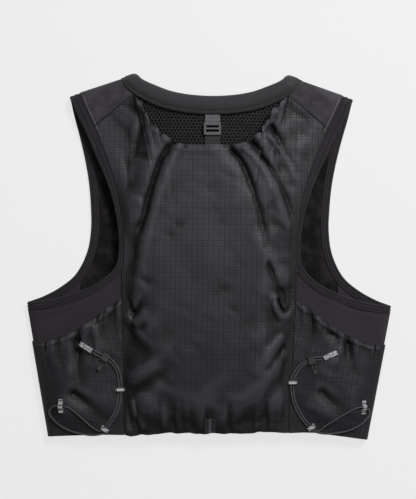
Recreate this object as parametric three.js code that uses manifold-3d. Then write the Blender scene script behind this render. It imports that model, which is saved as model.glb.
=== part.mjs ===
// Running hydration vest, lying flat with its back upward.
// Millimetres. +X is to the viewer's right, +Y from the hem to the neck, +Z up from the
// surface that the vest lies on. The origin is on that surface, under the middle of the vest.

import * as THREE from 'three';
import { mergeVertices } from 'three/addons/utils/BufferGeometryUtils.js';
import Module from 'manifold-3d';

// Overall size as it lies, from underarm to underarm and from hem to shoulder
const VEST_WIDTH = 430;
const VEST_LENGTH = 429;

// Cloth walls and the clearance between sewn neighbours
const FRONT_WALL = 2;
const BACK_WALL = 2.5;
const SIDE_WALL = 2;
const YOKE_WALL = 4;
const POCKET_WALL = 1.2;
const SEAM_GAP = 0.4;

// Room between the layers: for the body, the back pocket and the side pockets
const BODY_GAP = 14;
const EDGE_GAP = 5;
const POCKET_ROOM = 10;
const MOUTH_ROOM = 8.5;
const SIDE_POCKET_ROOM = 6;

// Edge tape round the armholes and the padded collar
const BINDING_WIDTH = 9.4;
const BINDING_THICK = 3.6;
const COLLAR_WIDTH = 21.5;
const COLLAR_THICK = 7;
const ROLL_GAP = 2.7;

// Folds and gathers
const FOLD_WIDTH = 7;
const FOLD_HEIGHT = 5;

// Centre front opening and the two straps that close it
const FRONT_OPENING = 24;
const CLASP_WIDTH = 20;
const CLASP_THICK = 3;

// Hanger webbing with its ladder buckle, and the loop at the hem
const HANGER_WIDTH = 17.5;
const WEBBING_THICK = 1.2;
const BUCKLE_WIDTH = 20;
const BUCKLE_LENGTH = 15;
const BUCKLE_THICK = 3.6;
const BUCKLE_RADIUS = 1.5;
const SLOT_WIDTH = 15.5;
const SLOT_LENGTH = 3;
const SLOT_RADIUS = 0.8;
const HEM_LOOP_WIDTH = 9.4;
const HEM_LOOP_LENGTH = 21;

// Elastic cord, the tapes that hold it down, its hook and its pull tab
const CORD_DIAMETER = 2;
const CORD_SIDES = 8;
const CORD_STEPS = 40;
const STRAND_SPACING = 3;
const CORD_CLEARANCE = 0.5;
const TAPE_THICK = 0.8;
const PULL_TAB_LENGTH = 17;
const PULL_TAB_WIDTH = 5.5;
const PULL_TAB_THICK = 3;
const HOOK_LENGTH = 8;
const HOOK_WALL = 1.8;
const HOOK_TAIL_LENGTH = 13;
const HOOK_TAIL_WIDTH = 4.5;
const HOOK_EYE_WIDTH = 1.6;
const ROUNDING_REST = 0.1;

const HALF_WIDTH = VEST_WIDTH / 2;
const SIDES = [
  { name: 'left', sign: -1 },
  { name: 'right', sign: 1 },
];

// The armhole's tape, from the shoulder down the back, round the underarm and up the front.
// out and up place its free edge in shares of the half width and the length, face is the
// direction from there to the sewn edge in degrees, wide is a share of the tape's width and
// lift tells the front layer (0) from the back layer (1).
const ARMHOLE = [
  { out: 0.775, up: 0.929, face: 159, wide: 1.6, lift: 0.5 },
  { out: 0.762, up: 0.915, face: 156, wide: 1.58, lift: 0.97 },
  { out: 0.724, up: 0.874, face: 151, wide: 1.53, lift: 1 },
  { out: 0.687, up: 0.837, face: 153, wide: 1.51, lift: 1 },
  { out: 0.628, up: 0.77, face: 154, wide: 1.47, lift: 1 },
  { out: 0.563, up: 0.695, face: 159, wide: 1.15, lift: 1 },
  { out: 0.524, up: 0.632, face: 166, wide: 0.9, lift: 1 },
  { out: 0.501, up: 0.569, face: 173, wide: 0.69, lift: 1 },
  { out: 0.496, up: 0.516, face: 198, wide: 0.79, lift: 1 },
  { out: 0.511, up: 0.472, face: 211, wide: 0.96, lift: 1 },
  { out: 0.587, up: 0.431, face: 236, wide: 0.91, lift: 1 },
  { out: 0.701, up: 0.401, face: 246, wide: 0.96, lift: 1 },
  { out: 0.816, up: 0.382, face: 259, wide: 1.02, lift: 1 },
  { out: 0.914, up: 0.372, face: 264, wide: 1.01, lift: 1 },
  { out: 0.966, up: 0.369, face: 266, wide: 1, lift: 0.97 },
  { out: 0.992, up: 0.368, face: 266, wide: 1, lift: 0.5 },
  { out: 0.966, up: 0.373, face: 264, wide: 1, lift: 0.03 },
  { out: 0.914, up: 0.383, face: 251, wide: 0.99, lift: 0 },
  { out: 0.816, up: 0.41, face: 236, wide: 1.02, lift: 0 },
  { out: 0.733, up: 0.446, face: 220, wide: 1, lift: 0 },
  { out: 0.672, up: 0.508, face: 202, wide: 0.99, lift: 0 },
  { out: 0.653, up: 0.568, face: 180, wide: 0.97, lift: 0 },
  { out: 0.655, up: 0.631, face: 173, wide: 0.97, lift: 0 },
  { out: 0.666, up: 0.694, face: 165, wide: 0.99, lift: 0 },
  { out: 0.688, up: 0.757, face: 165, wide: 0.99, lift: 0 },
  { out: 0.718, up: 0.82, face: 162, wide: 1.02, lift: 0 },
  { out: 0.75, up: 0.878, face: 159, wide: 1.2, lift: 0 },
  { out: 0.769, up: 0.918, face: 159, wide: 1.5, lift: 0.03 },
];

// The rows of ARMHOLE where a panel's corner meets the tape
const ARMHOLE_AT = { shoulder: 28, backYoke: 3, backSeam: 9, tip: 15, frontSeam: 19, frontYoke: 26 };

// The collar from the front opening up to the shoulder and round to the middle of the back
const COLLAR = [
  { out: 0.056, up: 0.726, face: -86, wide: 1, lift: 0 },
  { out: 0.178, up: 0.757, face: -50, wide: 1, lift: 0 },
  { out: 0.278, up: 0.812, face: -36, wide: 1, lift: 0 },
  { out: 0.345, up: 0.878, face: -25, wide: 1, lift: 0 },
  { out: 0.385, up: 0.941, face: -16, wide: 0.97, lift: 0 },
  { out: 0.405, up: 0.978, face: -18, wide: 0.93, lift: 0.03 },
  { out: 0.407, up: 0.994, face: -20, wide: 0.9, lift: 0.5 },
  { out: 0.381, up: 0.983, face: -30, wide: 0.97, lift: 0.97 },
  { out: 0.345, up: 0.974, face: -40, wide: 1.02, lift: 1 },
  { out: 0.311, up: 0.967, face: -46, wide: 1.04, lift: 1 },
  { out: 0.224, up: 0.951, face: -61, wide: 1.03, lift: 1 },
  { out: 0.128, up: 0.942, face: -79, wide: 1, lift: 1 },
];
const COLLAR_BACK_MIDDLE = { out: 0, up: 0.938, face: -90, wide: 1, lift: 1 };
const COLLAR_AT = { opening: 0, frontYoke: 4, shoulder: 6, backYoke: 8, middle: 12 };

// The hem, left to right
const HEM = [
  { out: -0.876, up: 0 },
  { out: -0.608, up: 0.007 },
  { out: -0.441, up: 0.007 },
  { out: -0.343, up: 0.011 },
  { out: -0.195, up: 0.018 },
  { out: -0.02, up: 0.016 },
  { out: 0.067, up: 0.018 },
  { out: 0.176, up: 0.017 },
  { out: 0.34, up: 0.024 },
  { out: 0.447, up: 0.017 },
  { out: 0.559, up: 0.02 },
  { out: 0.734, up: 0.009 },
  { out: 0.876, up: 0 },
];
const HEM_CORNER_OUT = 0.876;
const HEM_SEAM_OUT = { left: 0.455, right: 0.442 };

// The gathered mouth of the back pocket between the two yoke seams, left to right
const POCKET_MOUTH = [
  { out: -0.384, up: 0.908 },
  { out: -0.334, up: 0.859 },
  { out: -0.251, up: 0.826 },
  { out: -0.18, up: 0.806 },
  { out: -0.086, up: 0.802 },
  { out: 0, up: 0.804 },
  { out: 0.094, up: 0.805 },
  { out: 0.187, up: 0.809 },
  { out: 0.257, up: 0.831 },
  { out: 0.311, up: 0.867 },
  { out: 0.352, up: 0.902 },
];

// Folds of the back pocket: ridges are high, valleys are negative. from, bend and to are
// [out, up] places, wide and high are shares of FOLD_WIDTH and FOLD_HEIGHT.
const BACK_FOLDS = [
  { from: [-0.19, 0.808], bend: [-0.314, 0.694], to: [-0.414, 0.516], wide: 1.1, high: -1.3 },
  { from: [-0.388, 0.576], bend: [-0.419, 0.483], to: [-0.46, 0.379], wide: 1, high: -0.8 },
  { from: [-0.163, 0.801], bend: [-0.264, 0.686], to: [-0.365, 0.521], wide: 1.3, high: 0.8 },
  { from: [-0.349, 0.543], bend: [-0.385, 0.447], to: [-0.416, 0.379], wide: 1.1, high: 0.6 },
  { from: [-0.423, 0.913], bend: [-0.41, 0.867], to: [-0.409, 0.801], wide: 0.8, high: 0.8 },
  { from: [-0.375, 0.889], bend: [-0.378, 0.839], to: [-0.403, 0.785], wide: 0.8, high: -1.2 },
  { from: [-0.335, 0.86], bend: [-0.35, 0.763], to: [-0.389, 0.653], wide: 1, high: 0.9 },
  { from: [-0.466, 0.894], bend: [-0.447, 0.804], to: [-0.461, 0.694], wide: 0.8, high: -0.6 },
  { from: [-0.295, 0.838], bend: [-0.316, 0.79], to: [-0.331, 0.746], wide: 0.8, high: -1 },
  { from: [-0.245, 0.822], bend: [-0.277, 0.774], to: [-0.32, 0.719], wide: 1, high: 0.9 },
  { from: [0.094, 0.798], bend: [0.194, 0.727], to: [0.312, 0.593], wide: 1.1, high: -1 },
  { from: [0.138, 0.801], bend: [0.254, 0.719], to: [0.377, 0.582], wide: 1.3, high: 0.9 },
  { from: [0.312, 0.85], bend: [0.382, 0.727], to: [0.466, 0.601], wide: 1, high: -1 },
  { from: [0.27, 0.82], bend: [0.336, 0.749], to: [0.414, 0.653], wide: 1, high: 0.9 },
  { from: [0.34, 0.88], bend: [0.393, 0.805], to: [0.431, 0.757], wide: 0.8, high: -0.8 },
  { from: [0.382, 0.91], bend: [0.422, 0.817], to: [0.461, 0.749], wide: 1, high: 0.8 },
  { from: [0.215, 0.81], bend: [0.255, 0.774], to: [0.303, 0.73], wide: 0.8, high: -0.9 },
  { from: [-0.45, 0.335], bend: [-0.42, 0.31], to: [-0.372, 0.343], wide: 0.7, high: 1 },
  { from: [-0.443, 0.365], bend: [-0.416, 0.34], to: [-0.383, 0.371], wide: 0.8, high: -1 },
  { from: [0.365, 0.384], bend: [0.404, 0.343], to: [0.45, 0.368], wide: 0.7, high: 1 },
  { from: [0.387, 0.404], bend: [0.415, 0.368], to: [0.445, 0.398], wide: 0.8, high: -1 },
  { from: [-0.45, 0.305], bend: [-0.414, 0.277], to: [-0.342, 0.242], wide: 0.9, high: -0.7 },
  { from: [-0.44, 0.173], bend: [-0.358, 0.184], to: [-0.287, 0.225], wide: 1.2, high: 0.6 },
  { from: [0.429, 0.203], bend: [0.378, 0.153], to: [0.294, 0.094], wide: 1.1, high: -0.7 },
  { from: [0.207, 0.105], bend: [0.294, 0.146], to: [0.353, 0.203], wide: 1.3, high: 0.5 },
  { from: [-0.345, 0.099], bend: [-0.289, 0.066], to: [-0.207, 0.039], wide: 1.1, high: 0.5 },
  { from: [0.165, 0.039], bend: [0.296, 0.05], to: [0.438, 0.033], wide: 0.9, high: -0.5 },
];

// Folds of the side pockets, placed in the same way
const SIDE_FOLDS = {
  left: [
    { from: [-0.715, 0.26], bend: [-0.71, 0.2], to: [-0.7, 0.15], wide: 0.8, high: -0.5 },
    { from: [-0.62, 0.3], bend: [-0.6, 0.25], to: [-0.6, 0.2], wide: 0.8, high: 0.4 },
    { from: [-0.73, 0.118], bend: [-0.64, 0.085], to: [-0.52, 0.04], wide: 1, high: -0.5 },
    { from: [-0.54, 0.33], bend: [-0.53, 0.28], to: [-0.52, 0.22], wide: 0.8, high: -0.5 },
  ],
  right: [
    { from: [0.55, 0.34], bend: [0.56, 0.31], to: [0.565, 0.28], wide: 0.8, high: -0.5 },
    { from: [0.67, 0.29], bend: [0.69, 0.28], to: [0.7, 0.27], wide: 0.8, high: -0.5 },
    { from: [0.76, 0.26], bend: [0.77, 0.22], to: [0.8, 0.16], wide: 0.9, high: -0.5 },
    { from: [0.62, 0.13], bend: [0.68, 0.1], to: [0.76, 0.06], wide: 1, high: -0.4 },
  ],
};

// The gathered mouth of a side pocket: the share of the side panel's height that it covers,
// from the side edge (across 0) to the back seam (across 1)
const SIDE_MOUTH = [
  { across: 0, up: 0.75 },
  { across: 0.33, up: 0.735 },
  { across: 0.55, up: 0.77 },
  { across: 0.85, up: 0.845 },
  { across: 1, up: 0.83 },
];
// The flat strip along the side, a share of the pocket's width
const SIDE_STRIP_SHARE = 0.14;

// Rectangles of plain cloth per stretch: which stations or shares are cut into how many
const ARMHOLE_SPANS = [
  { from: 3, to: 5.6, count: 7 },
  { from: 5.6, to: 9, count: 5 },
  { from: 9, to: 14, count: 6 },
  { from: 14, to: 16, count: 6 },
  { from: 16, to: 19, count: 3 },
  { from: 19, to: 26, count: 7 },
  { from: 26, to: 28, count: 4 },
  { from: 28, to: 31, count: 5 },
];
const COLLAR_HALF_SPANS = [
  { from: 0, to: 4, count: 5 },
  { from: 4, to: 6, count: 4 },
  { from: 6, to: 8, count: 4 },
  { from: 8, to: 12, count: 5 },
];

function mix(a, b, t) {
  return a + (b - a) * t;
}

function ease(from, to, value) {
  const t = THREE.MathUtils.clamp((value - from) / (to - from), 0, 1);
  return t * t * (3 - 2 * t);
}

// Linear reading of one column of a table against another
function readTable(rows, key, value, column) {
  if (value <= rows[0][key]) return rows[0][column];
  const upper = rows.findIndex((row) => row[key] >= value);
  if (upper < 0) return rows[rows.length - 1][column];
  const a = rows[upper - 1];
  const b = rows[upper];
  return mix(a[column], b[column], (value - a[key]) / (b[key] - a[key]));
}

// A list of values that cuts each span into its count of equal steps
function divide(spans) {
  const values = [spans[0].from];
  for (const { from, to, count } of spans) {
    for (let i = 1; i <= count; i += 1) {
      values.push(mix(from, to, i / count));
    }
  }
  return values;
}

function placeUp(up) {
  return (up - 0.5) * VEST_LENGTH;
}

// Distance of a back seam from the middle line at the hem
function seamFoot(sign) {
  return (sign < 0 ? HEM_SEAM_OUT.left : HEM_SEAM_OUT.right) * HALF_WIDTH;
}

function hemY(x) {
  return placeUp(readTable(HEM, 'out', x / HALF_WIDTH, 'up'));
}

// Height of the back layer's underside: highest in the middle, lower towards the sides,
// the hem and the shoulders, where back and front meet
const SHOULDER_SHARE = 0.35;
const HEM_SHARE = 0.8;
function backFloor(x, y) {
  const across = Math.min(1, Math.abs(x) / HALF_WIDTH);
  const up = y / VEST_LENGTH + 0.5;
  const shoulder = mix(1, SHOULDER_SHARE, ease(0.55, 1, up));
  const hem = mix(HEM_SHARE, 1, ease(0, 0.2, up));
  const crown = (1 - across * across) * shoulder * hem;
  return FRONT_WALL + mix(EDGE_GAP, BODY_GAP, crown);
}

// A point of a layer's middle surface: lift 0 lies on the ground, lift 1 on the back level
function lifted(x, y, lift, thick) {
  const share = THREE.MathUtils.clamp(lift, 0, 1);
  return new THREE.Vector3(x, y, share * backFloor(x, y) + thick / 2);
}

// A closed solid through rings with the same number of points. The ends of an open one are
// closed by joining the first half of the ring to the second half, point by point.
function loft(rings, closed) {
  const count = rings[0].length;
  const faces = [];
  const spans = closed ? rings.length : rings.length - 1;
  for (let i = 0; i < spans; i += 1) {
    const near = i * count;
    const far = ((i + 1) % rings.length) * count;
    for (let j = 0; j < count; j += 1) {
      const next = (j + 1) % count;
      faces.push(near + j, near + next, far + next, near + j, far + next, far + j);
    }
  }
  if (!closed) {
    const last = (rings.length - 1) * count;
    for (let k = 0; k < count / 2 - 1; k += 1) {
      const across = count - 1 - k;
      faces.push(k, across, across - 1, k, across - 1, k + 1);
      faces.push(last + k, last + k + 1, last + across - 1);
      faces.push(last + k, last + across - 1, last + across);
    }
  }
  const geometry = new THREE.BufferGeometry();
  const positions = rings.flat().flatMap((point) => point.toArray());
  geometry.setAttribute('position', new THREE.Float32BufferAttribute(positions, 3));
  geometry.setIndex(volume(positions, faces) < 0 ? turned(faces) : faces);
  geometry.computeVertexNormals();
  return geometry;
}

function volume(positions, faces) {
  const corner = (index) => new THREE.Vector3().fromArray(positions, index * 3);
  let total = 0;
  for (let i = 0; i < faces.length; i += 3) {
    const [a, b, c] = [corner(faces[i]), corner(faces[i + 1]), corner(faces[i + 2])];
    total += a.dot(b.cross(c)) / 6;
  }
  return total;
}

function turned(faces) {
  const result = [];
  for (let i = 0; i < faces.length; i += 3) {
    result.push(faces[i], faces[i + 2], faces[i + 1]);
  }
  return result;
}

const NORMAL_STEP = 0.004;
function normalOf(surface, u, v) {
  const u0 = Math.max(0, u - NORMAL_STEP);
  const u1 = Math.min(1, u + NORMAL_STEP);
  const v0 = Math.max(0, v - NORMAL_STEP);
  const v1 = Math.min(1, v + NORMAL_STEP);
  const alongU = surface(u1, v).sub(surface(u0, v));
  const alongV = surface(u, v1).sub(surface(u, v0));
  return alongU.cross(alongV).normalize();
}

// Cloth of an even wall round a middle surface of two parameters from 0 to 1
function cloth(surface, columns, rows, wall) {
  const offset = (u, v, distance) => surface(u, v).addScaledVector(normalOf(surface, u, v), distance);
  const rings = rows.map((v) => {
    const outer = columns.map((u) => offset(u, v, wall / 2));
    const inner = columns.map((u) => offset(u, v, -wall / 2));
    return [...outer, ...inner.reverse()];
  });
  return loft(rings, false);
}

// A line along a tape or a collar: share 0 is its free edge and 1 its sewn edge, and gap
// goes on past that edge into the neighbouring cloth. The third coordinate is the lift.
function edgeLine(rows, width, closed, share, gap) {
  const points = rows.map((row) => {
    const angle = THREE.MathUtils.degToRad(row.face);
    const reach = share * row.wide * width + gap;
    const x = row.sign * (row.out * HALF_WIDTH + Math.cos(angle) * reach);
    return new THREE.Vector3(x, placeUp(row.up) + Math.sin(angle) * reach, row.lift * BODY_GAP);
  });
  const curve = new THREE.CatmullRomCurve3(points, closed, 'centripetal');
  const spans = closed ? rows.length : rows.length - 1;
  return (station) => {
    const t = station / spans;
    const point = curve.getPoint(closed ? t - Math.floor(t) : t);
    return { x: point.x, y: point.y, lift: point.z / BODY_GAP };
  };
}

function armholeLine(sign, share, gap) {
  const rows = ARMHOLE.map((row) => ({ ...row, sign }));
  return edgeLine(rows, BINDING_WIDTH, true, share, gap);
}

function collarLine(share, gap) {
  const right = COLLAR.map((row) => ({ ...row, sign: 1 }));
  const left = COLLAR.map((row) => ({ ...row, sign: -1 })).reverse();
  const rows = [...right, { ...COLLAR_BACK_MIDDLE, sign: 1 }, ...left];
  return edgeLine(rows, COLLAR_WIDTH, false, share, gap);
}

// The same station of the collar counted from the front opening of either side
function collarStation(sign, station) {
  return sign > 0 ? station : 2 * COLLAR_AT.middle - station;
}

// A band between its free and its sewn edge, with a section carried along it
const STATION_STEP = 0.05;
function band(freeLine, sewnLine, stations, section, thick, closed) {
  const at = (line, station) => {
    const { x, y, lift } = line(station);
    return lifted(x, y, lift, thick);
  };
  const middle = (station) => at(freeLine, station).lerp(at(sewnLine, station), 0.5);
  const rings = stations.map((station) => {
    const last = closed ? Infinity : stations[stations.length - 1];
    const ahead = middle(Math.min(last, station + STATION_STEP));
    const behind = middle(Math.max(closed ? -Infinity : 0, station - STATION_STEP));
    const free = at(freeLine, station);
    const across = at(sewnLine, station).sub(free);
    const normal = ahead.sub(behind).cross(across).normalize();
    return section.map(({ along, deep }) =>
      free.clone().addScaledVector(across, along).addScaledVector(normal, deep * thick));
  });
  return loft(rings, closed);
}

// Half sections, given on one face from the free to the sewn edge and mirrored to the other
function bothFaces(rows) {
  const below = rows.map(({ along, deep }) => ({ along, deep: -deep }));
  return [...rows, ...below.reverse()];
}
const TAPE_SECTION = bothFaces([
  { along: 0, deep: 0.3 },
  { along: 0.18, deep: 0.5 },
  { along: 1, deep: 0.5 },
]);
const COLLAR_SECTION = bothFaces([
  { along: 0, deep: 0.22 },
  { along: 0.16, deep: 0.45 },
  { along: 0.55, deep: 0.5 },
  { along: 1, deep: 0.32 },
]);

function finish(name, color, roughness, metalness) {
  const material = new THREE.MeshStandardMaterial({ color, roughness, metalness });
  material.name = name;
  return material;
}
const RIPSTOP = finish('ripstop', 0x343438, 0.75, 0);
const KNIT = finish('knit', 0x2f2a2f, 0.9, 0);
const SPACER_MESH = finish('spacer_mesh', 0x272427, 0.95, 0);
const PADDED_KNIT = finish('padded_knit', 0x2c2a2e, 0.85, 0);
const SHOULDER_CLOTH = finish('shoulder_cloth', 0x403d43, 0.8, 0);
const TAPE = finish('edge_tape', 0x2a272b, 0.85, 0);
const WEBBING = finish('webbing', 0x6c6a70, 0.8, 0);
const PLASTIC = finish('plastic', 0x55545a, 0.45, 0);
const REFLECTIVE = finish('reflective', 0xb9b8bc, 0.35, 0.4);
const CORD = finish('elastic_cord', 0x55535a, 0.8, 0);

const vest = new THREE.Group();
function addPiece(name, geometry, material) {
  const mesh = new THREE.Mesh(geometry, material);
  mesh.name = name;
  vest.add(mesh);
  return mesh;
}

// Side panels: knit cloth from the front seam under the arm, round the side and on to the
// back seam. Column 0 is the front seam and 1 the back seam, row 0 the hem and 1 the armhole.
function sidePanelSurface(sign) {
  const line = armholeLine(sign, 1, SEAM_GAP);
  const seam = Math.abs(line(ARMHOLE_AT.backSeam).x);
  const tip = Math.abs(line(ARMHOLE_AT.tip).x);
  const pocketDepth = SIDE_WALL / 2 + SEAM_GAP + POCKET_WALL;
  const hemCorner = HEM_CORNER_OUT * HALF_WIDTH - pocketDepth;
  return (u, v) => {
    const edge = line(mix(ARMHOLE_AT.frontSeam, ARMHOLE_AT.backSeam, u));
    const outward = (Math.abs(edge.x) - seam) / (tip - seam);
    const hemX = sign * mix(seamFoot(sign), hemCorner, outward);
    return lifted(mix(hemX, edge.x, v), mix(hemY(hemX), edge.y, v), edge.lift, SIDE_WALL);
  };
}
const SIDE_STATIONS = ARMHOLE_AT.frontSeam - ARMHOLE_AT.backSeam;
const SIDE_COLUMNS = divide(ARMHOLE_SPANS.slice(2, 5))
  .map((station) => (ARMHOLE_AT.frontSeam - station) / SIDE_STATIONS)
  .reverse();
const SIDE_ROWS = divide([{ from: 0, to: 1, count: 5 }]);

// Side pockets: ripstop cloth over the outer half of the side panel, from the fold at the
// side to the back seam, flat along the side and at the seams and loose between them
const TIP_COLUMN = (ARMHOLE_AT.frontSeam - ARMHOLE_AT.tip) / SIDE_STATIONS;
const STRIP_RISE = 0.3;
const POCKET_HEM_RISE = 0.3;
const SEAM_FALL_START = 0.62;
const SEAM_FALL_END = 1.02;
function sidePocketSurface(side) {
  const panel = sidePanelSurface(side.sign);
  const folds = SIDE_FOLDS[side.name];
  return (u, v) => {
    const panelU = mix(TIP_COLUMN, 1 - SEAM_GAP / HALF_WIDTH, u);
    const panelV = v * readTable(SIDE_MOUTH, 'across', u, 'up');
    const point = panel(panelU, panelV);
    const outward = normalOf(panel, panelU, panelV).multiplyScalar(-side.sign);
    const fromStrip = ease(SIDE_STRIP_SHARE, SIDE_STRIP_SHARE + STRIP_RISE, u);
    const loose = fromStrip * ease(SEAM_FALL_END, SEAM_FALL_START, u);
    const room = loose * ease(0, POCKET_HEM_RISE, v) * SIDE_POCKET_ROOM;
    const fold = foldHeight(folds, point.x, point.y) * loose;
    const spare = Math.max(0, room + fold);
    return point.addScaledVector(outward, (SIDE_WALL + POCKET_WALL) / 2 + SEAM_GAP + spare);
  };
}

// Sum of the folds at a place: each is a rounded ridge or valley along a bent line that
// sinks from its first to its last point
const FOLD_END_SHARE = 0.4;
function foldHeight(folds, x, y) {
  const place = new THREE.Vector2(x, y);
  return folds.reduce((sum, fold) => {
    const [a, b, c] = [fold.from, fold.bend, fold.to]
      .map(([out, up]) => new THREE.Vector2(out * HALF_WIDTH, placeUp(up)));
    const near = [[a, b, 0], [b, c, 0.5]].map(([start, end, share]) => {
      const along = end.clone().sub(start);
      const t = THREE.MathUtils.clamp(place.clone().sub(start).dot(along) / along.lengthSq(), 0, 1);
      const distance = start.clone().addScaledVector(along, t).distanceTo(place);
      return { distance, share: share + t / 2 };
    });
    const { distance, share } = near[0].distance < near[1].distance ? near[0] : near[1];
    const width = fold.wide * FOLD_WIDTH;
    const height = fold.high * FOLD_HEIGHT * mix(1, FOLD_END_SHARE, share);
    return sum + height * Math.exp(-((distance / width) ** 2));
  }, 0);
}

// A line made of stretches, each up to its share of the whole
function stretches(parts) {
  return (t) => {
    const index = Math.max(0, parts.findIndex((part) => t <= part.until));
    const from = index > 0 ? parts[index - 1].until : 0;
    const part = parts[index];
    return part.at((t - from) / (part.until - from));
  };
}

// A place between four edges: the plain mean of the two pairs of edges, less the corners
function between(bottom, top, left, right, u, v) {
  const [b, t, l, r] = [bottom(u), top(u), left(v), right(v)];
  const [bl, br, tl, tr] = [bottom(0), bottom(1), top(0), top(1)];
  const place = (axis) =>
    mix(b[axis], t[axis], v) + mix(l[axis], r[axis], u)
    - mix(mix(bl[axis], br[axis], u), mix(tl[axis], tr[axis], u), v);
  return { x: place('x'), y: place('y') };
}

// The back's outline, shared by the mesh panel and by the pocket on it: the hem, the seams
// with the side panels, the armholes up to the yokes, and the yoke seams
const BACK_SEAM_SHARE = 0.54;
const YOKE_SEAM_SHARE = 0.16;

function backSide(sign) {
  const line = armholeLine(sign, 1, SEAM_GAP);
  const corner = line(ARMHOLE_AT.backSeam);
  const footX = sign * (seamFoot(sign) - SEAM_GAP);
  const foot = { x: footX, y: hemY(footX) };
  const seam = (t) => ({
    x: mix(foot.x, corner.x - sign * SEAM_GAP, t),
    y: mix(foot.y, corner.y, t),
  });
  const armhole = (t) => {
    const place = line(mix(ARMHOLE_AT.backSeam, ARMHOLE_AT.backYoke, t));
    return { x: place.x - sign * SEAM_GAP * (1 - t), y: place.y - SEAM_GAP * t };
  };
  return stretches([{ until: BACK_SEAM_SHARE, at: seam }, { until: 1, at: armhole }]);
}

// middlePart runs between the two yoke seams, from left to right
function backTop(middlePart) {
  const collar = collarLine(1, SEAM_GAP);
  const inner = (sign) => {
    const place = collar(collarStation(sign, COLLAR_AT.backYoke));
    return { x: place.x, y: place.y - SEAM_GAP };
  };
  const seam = (sign, t) => {
    const outer = backSide(sign)(1);
    return { x: mix(outer.x, inner(sign).x, t), y: mix(outer.y, inner(sign).y, t) };
  };
  return stretches([
    { until: YOKE_SEAM_SHARE, at: (t) => seam(-1, t) },
    { until: 1 - YOKE_SEAM_SHARE, at: middlePart(inner) },
    { until: 1, at: (t) => seam(1, 1 - t) },
  ]);
}

function backHem(u) {
  const x = mix(SEAM_GAP - seamFoot(-1), seamFoot(1) - SEAM_GAP, u);
  return { x, y: hemY(x) };
}

// The mesh panel ends at the collar's sewn edge
const collarTop = backTop((inner) => {
  const line = collarLine(1, SEAM_GAP);
  return (t) => {
    const station = mix(collarStation(-1, COLLAR_AT.backYoke), COLLAR_AT.backYoke, t);
    const end = Math.max(0, 1 - Math.min(t, 1 - t) * 10);
    const place = line(station);
    return { x: place.x, y: place.y - SEAM_GAP * end };
  };
});
const leftSide = backSide(-1);
const rightSide = backSide(1);
function backPanelSurface(u, v) {
  const { x, y } = between(backHem, collarTop, leftSide, rightSide, u, v);
  return lifted(x, y, 1, BACK_WALL);
}

// The pocket ends at its gathered mouth
const mouthTop = backTop((inner) => {
  const points = [
    inner(-1),
    ...POCKET_MOUTH.map(({ out, up }) => ({ x: out * HALF_WIDTH, y: placeUp(up) })),
    inner(1),
  ];
  const curve = new THREE.CatmullRomCurve3(points.map(({ x, y }) => new THREE.Vector3(x, y, 0)));
  return (t) => curve.getPointAt(t);
});
// How far from its seams the pocket stands free, in shares of its width and height
const SIDE_RISE = 0.22;
const HEM_RISE = 0.16;
const YOKE_SEAM_START = 0.75;
const YOKE_SEAM_INNER = 0.27;
const YOKE_SEAM_OUTER = 0.15;
const MOUTH_START = 0.8;
// The same for the folds, which begin nearer to the seams and are lower there
const FOLD_SIDE_RISE = 0.06;
const FOLD_HEM_RISE = 0.03;
const SEAM_FOLD_SHARE = 0.35;
function backPocketSurface(u, v) {
  const { x, y } = between(backHem, mouthTop, leftSide, rightSide, u, v);
  const inward = Math.min(u, 1 - u);
  const yokeSeam = ease(YOKE_SEAM_START, 1, v) * ease(YOKE_SEAM_INNER, YOKE_SEAM_OUTER, inward);
  const room = mix(POCKET_ROOM, MOUTH_ROOM, ease(MOUTH_START, 1, v));
  const loose = ease(0, SIDE_RISE, inward) * ease(0, HEM_RISE, v) * (1 - yokeSeam);
  const foldShare = mix(SEAM_FOLD_SHARE, 1, ease(0, FOLD_SIDE_RISE, inward));
  const freeFold = foldShare * ease(0, FOLD_HEM_RISE, v) * (1 - yokeSeam);
  const spare = Math.max(0, room * loose + foldHeight(BACK_FOLDS, x, y) * freeFold);
  const point = lifted(x, y, 1, POCKET_WALL);
  point.z += BACK_WALL + SEAM_GAP + spare;
  return point;
}

const BACK_ROWS = divide([
  { from: 0, to: BACK_SEAM_SHARE, count: 8 },
  { from: BACK_SEAM_SHARE, to: BACK_SEAM_SHARE + (1 - BACK_SEAM_SHARE) * (3.4 / 6), count: 5 },
  { from: BACK_SEAM_SHARE + (1 - BACK_SEAM_SHARE) * (3.4 / 6), to: 1, count: 7 },
]);
const PANEL_COLUMNS = divide([
  { from: 0, to: YOKE_SEAM_SHARE, count: 2 },
  { from: YOKE_SEAM_SHARE, to: 1 - YOKE_SEAM_SHARE, count: 10 },
  { from: 1 - YOKE_SEAM_SHARE, to: 1, count: 2 },
]);
const POCKET_COLUMNS = divide([
  { from: 0, to: YOKE_SEAM_SHARE, count: 4 },
  { from: YOKE_SEAM_SHARE, to: 0.4, count: 14 },
  { from: 0.4, to: 0.6, count: 6 },
  { from: 0.6, to: 1 - YOKE_SEAM_SHARE, count: 14 },
  { from: 1 - YOKE_SEAM_SHARE, to: 1, count: 4 },
]);
addPiece('back_panel', cloth(backPanelSurface, PANEL_COLUMNS, BACK_ROWS, BACK_WALL), SPACER_MESH);
addPiece('back_pocket', cloth(backPocketSurface, POCKET_COLUMNS, BACK_ROWS, POCKET_WALL), RIPSTOP);

// Collar: one padded roll from the left of the front opening round the neck to its right
const collarStations = divide(COLLAR_HALF_SPANS);
const COLLAR_STATIONS = [
  ...collarStations,
  ...collarStations.slice(0, -1).reverse().map((station) => collarStation(-1, station)),
];
const collarGeometry = band(
  collarLine(0, 0), collarLine(1, 0), COLLAR_STATIONS, COLLAR_SECTION, COLLAR_THICK, false);
addPiece('collar', collarGeometry, PADDED_KNIT);

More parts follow.
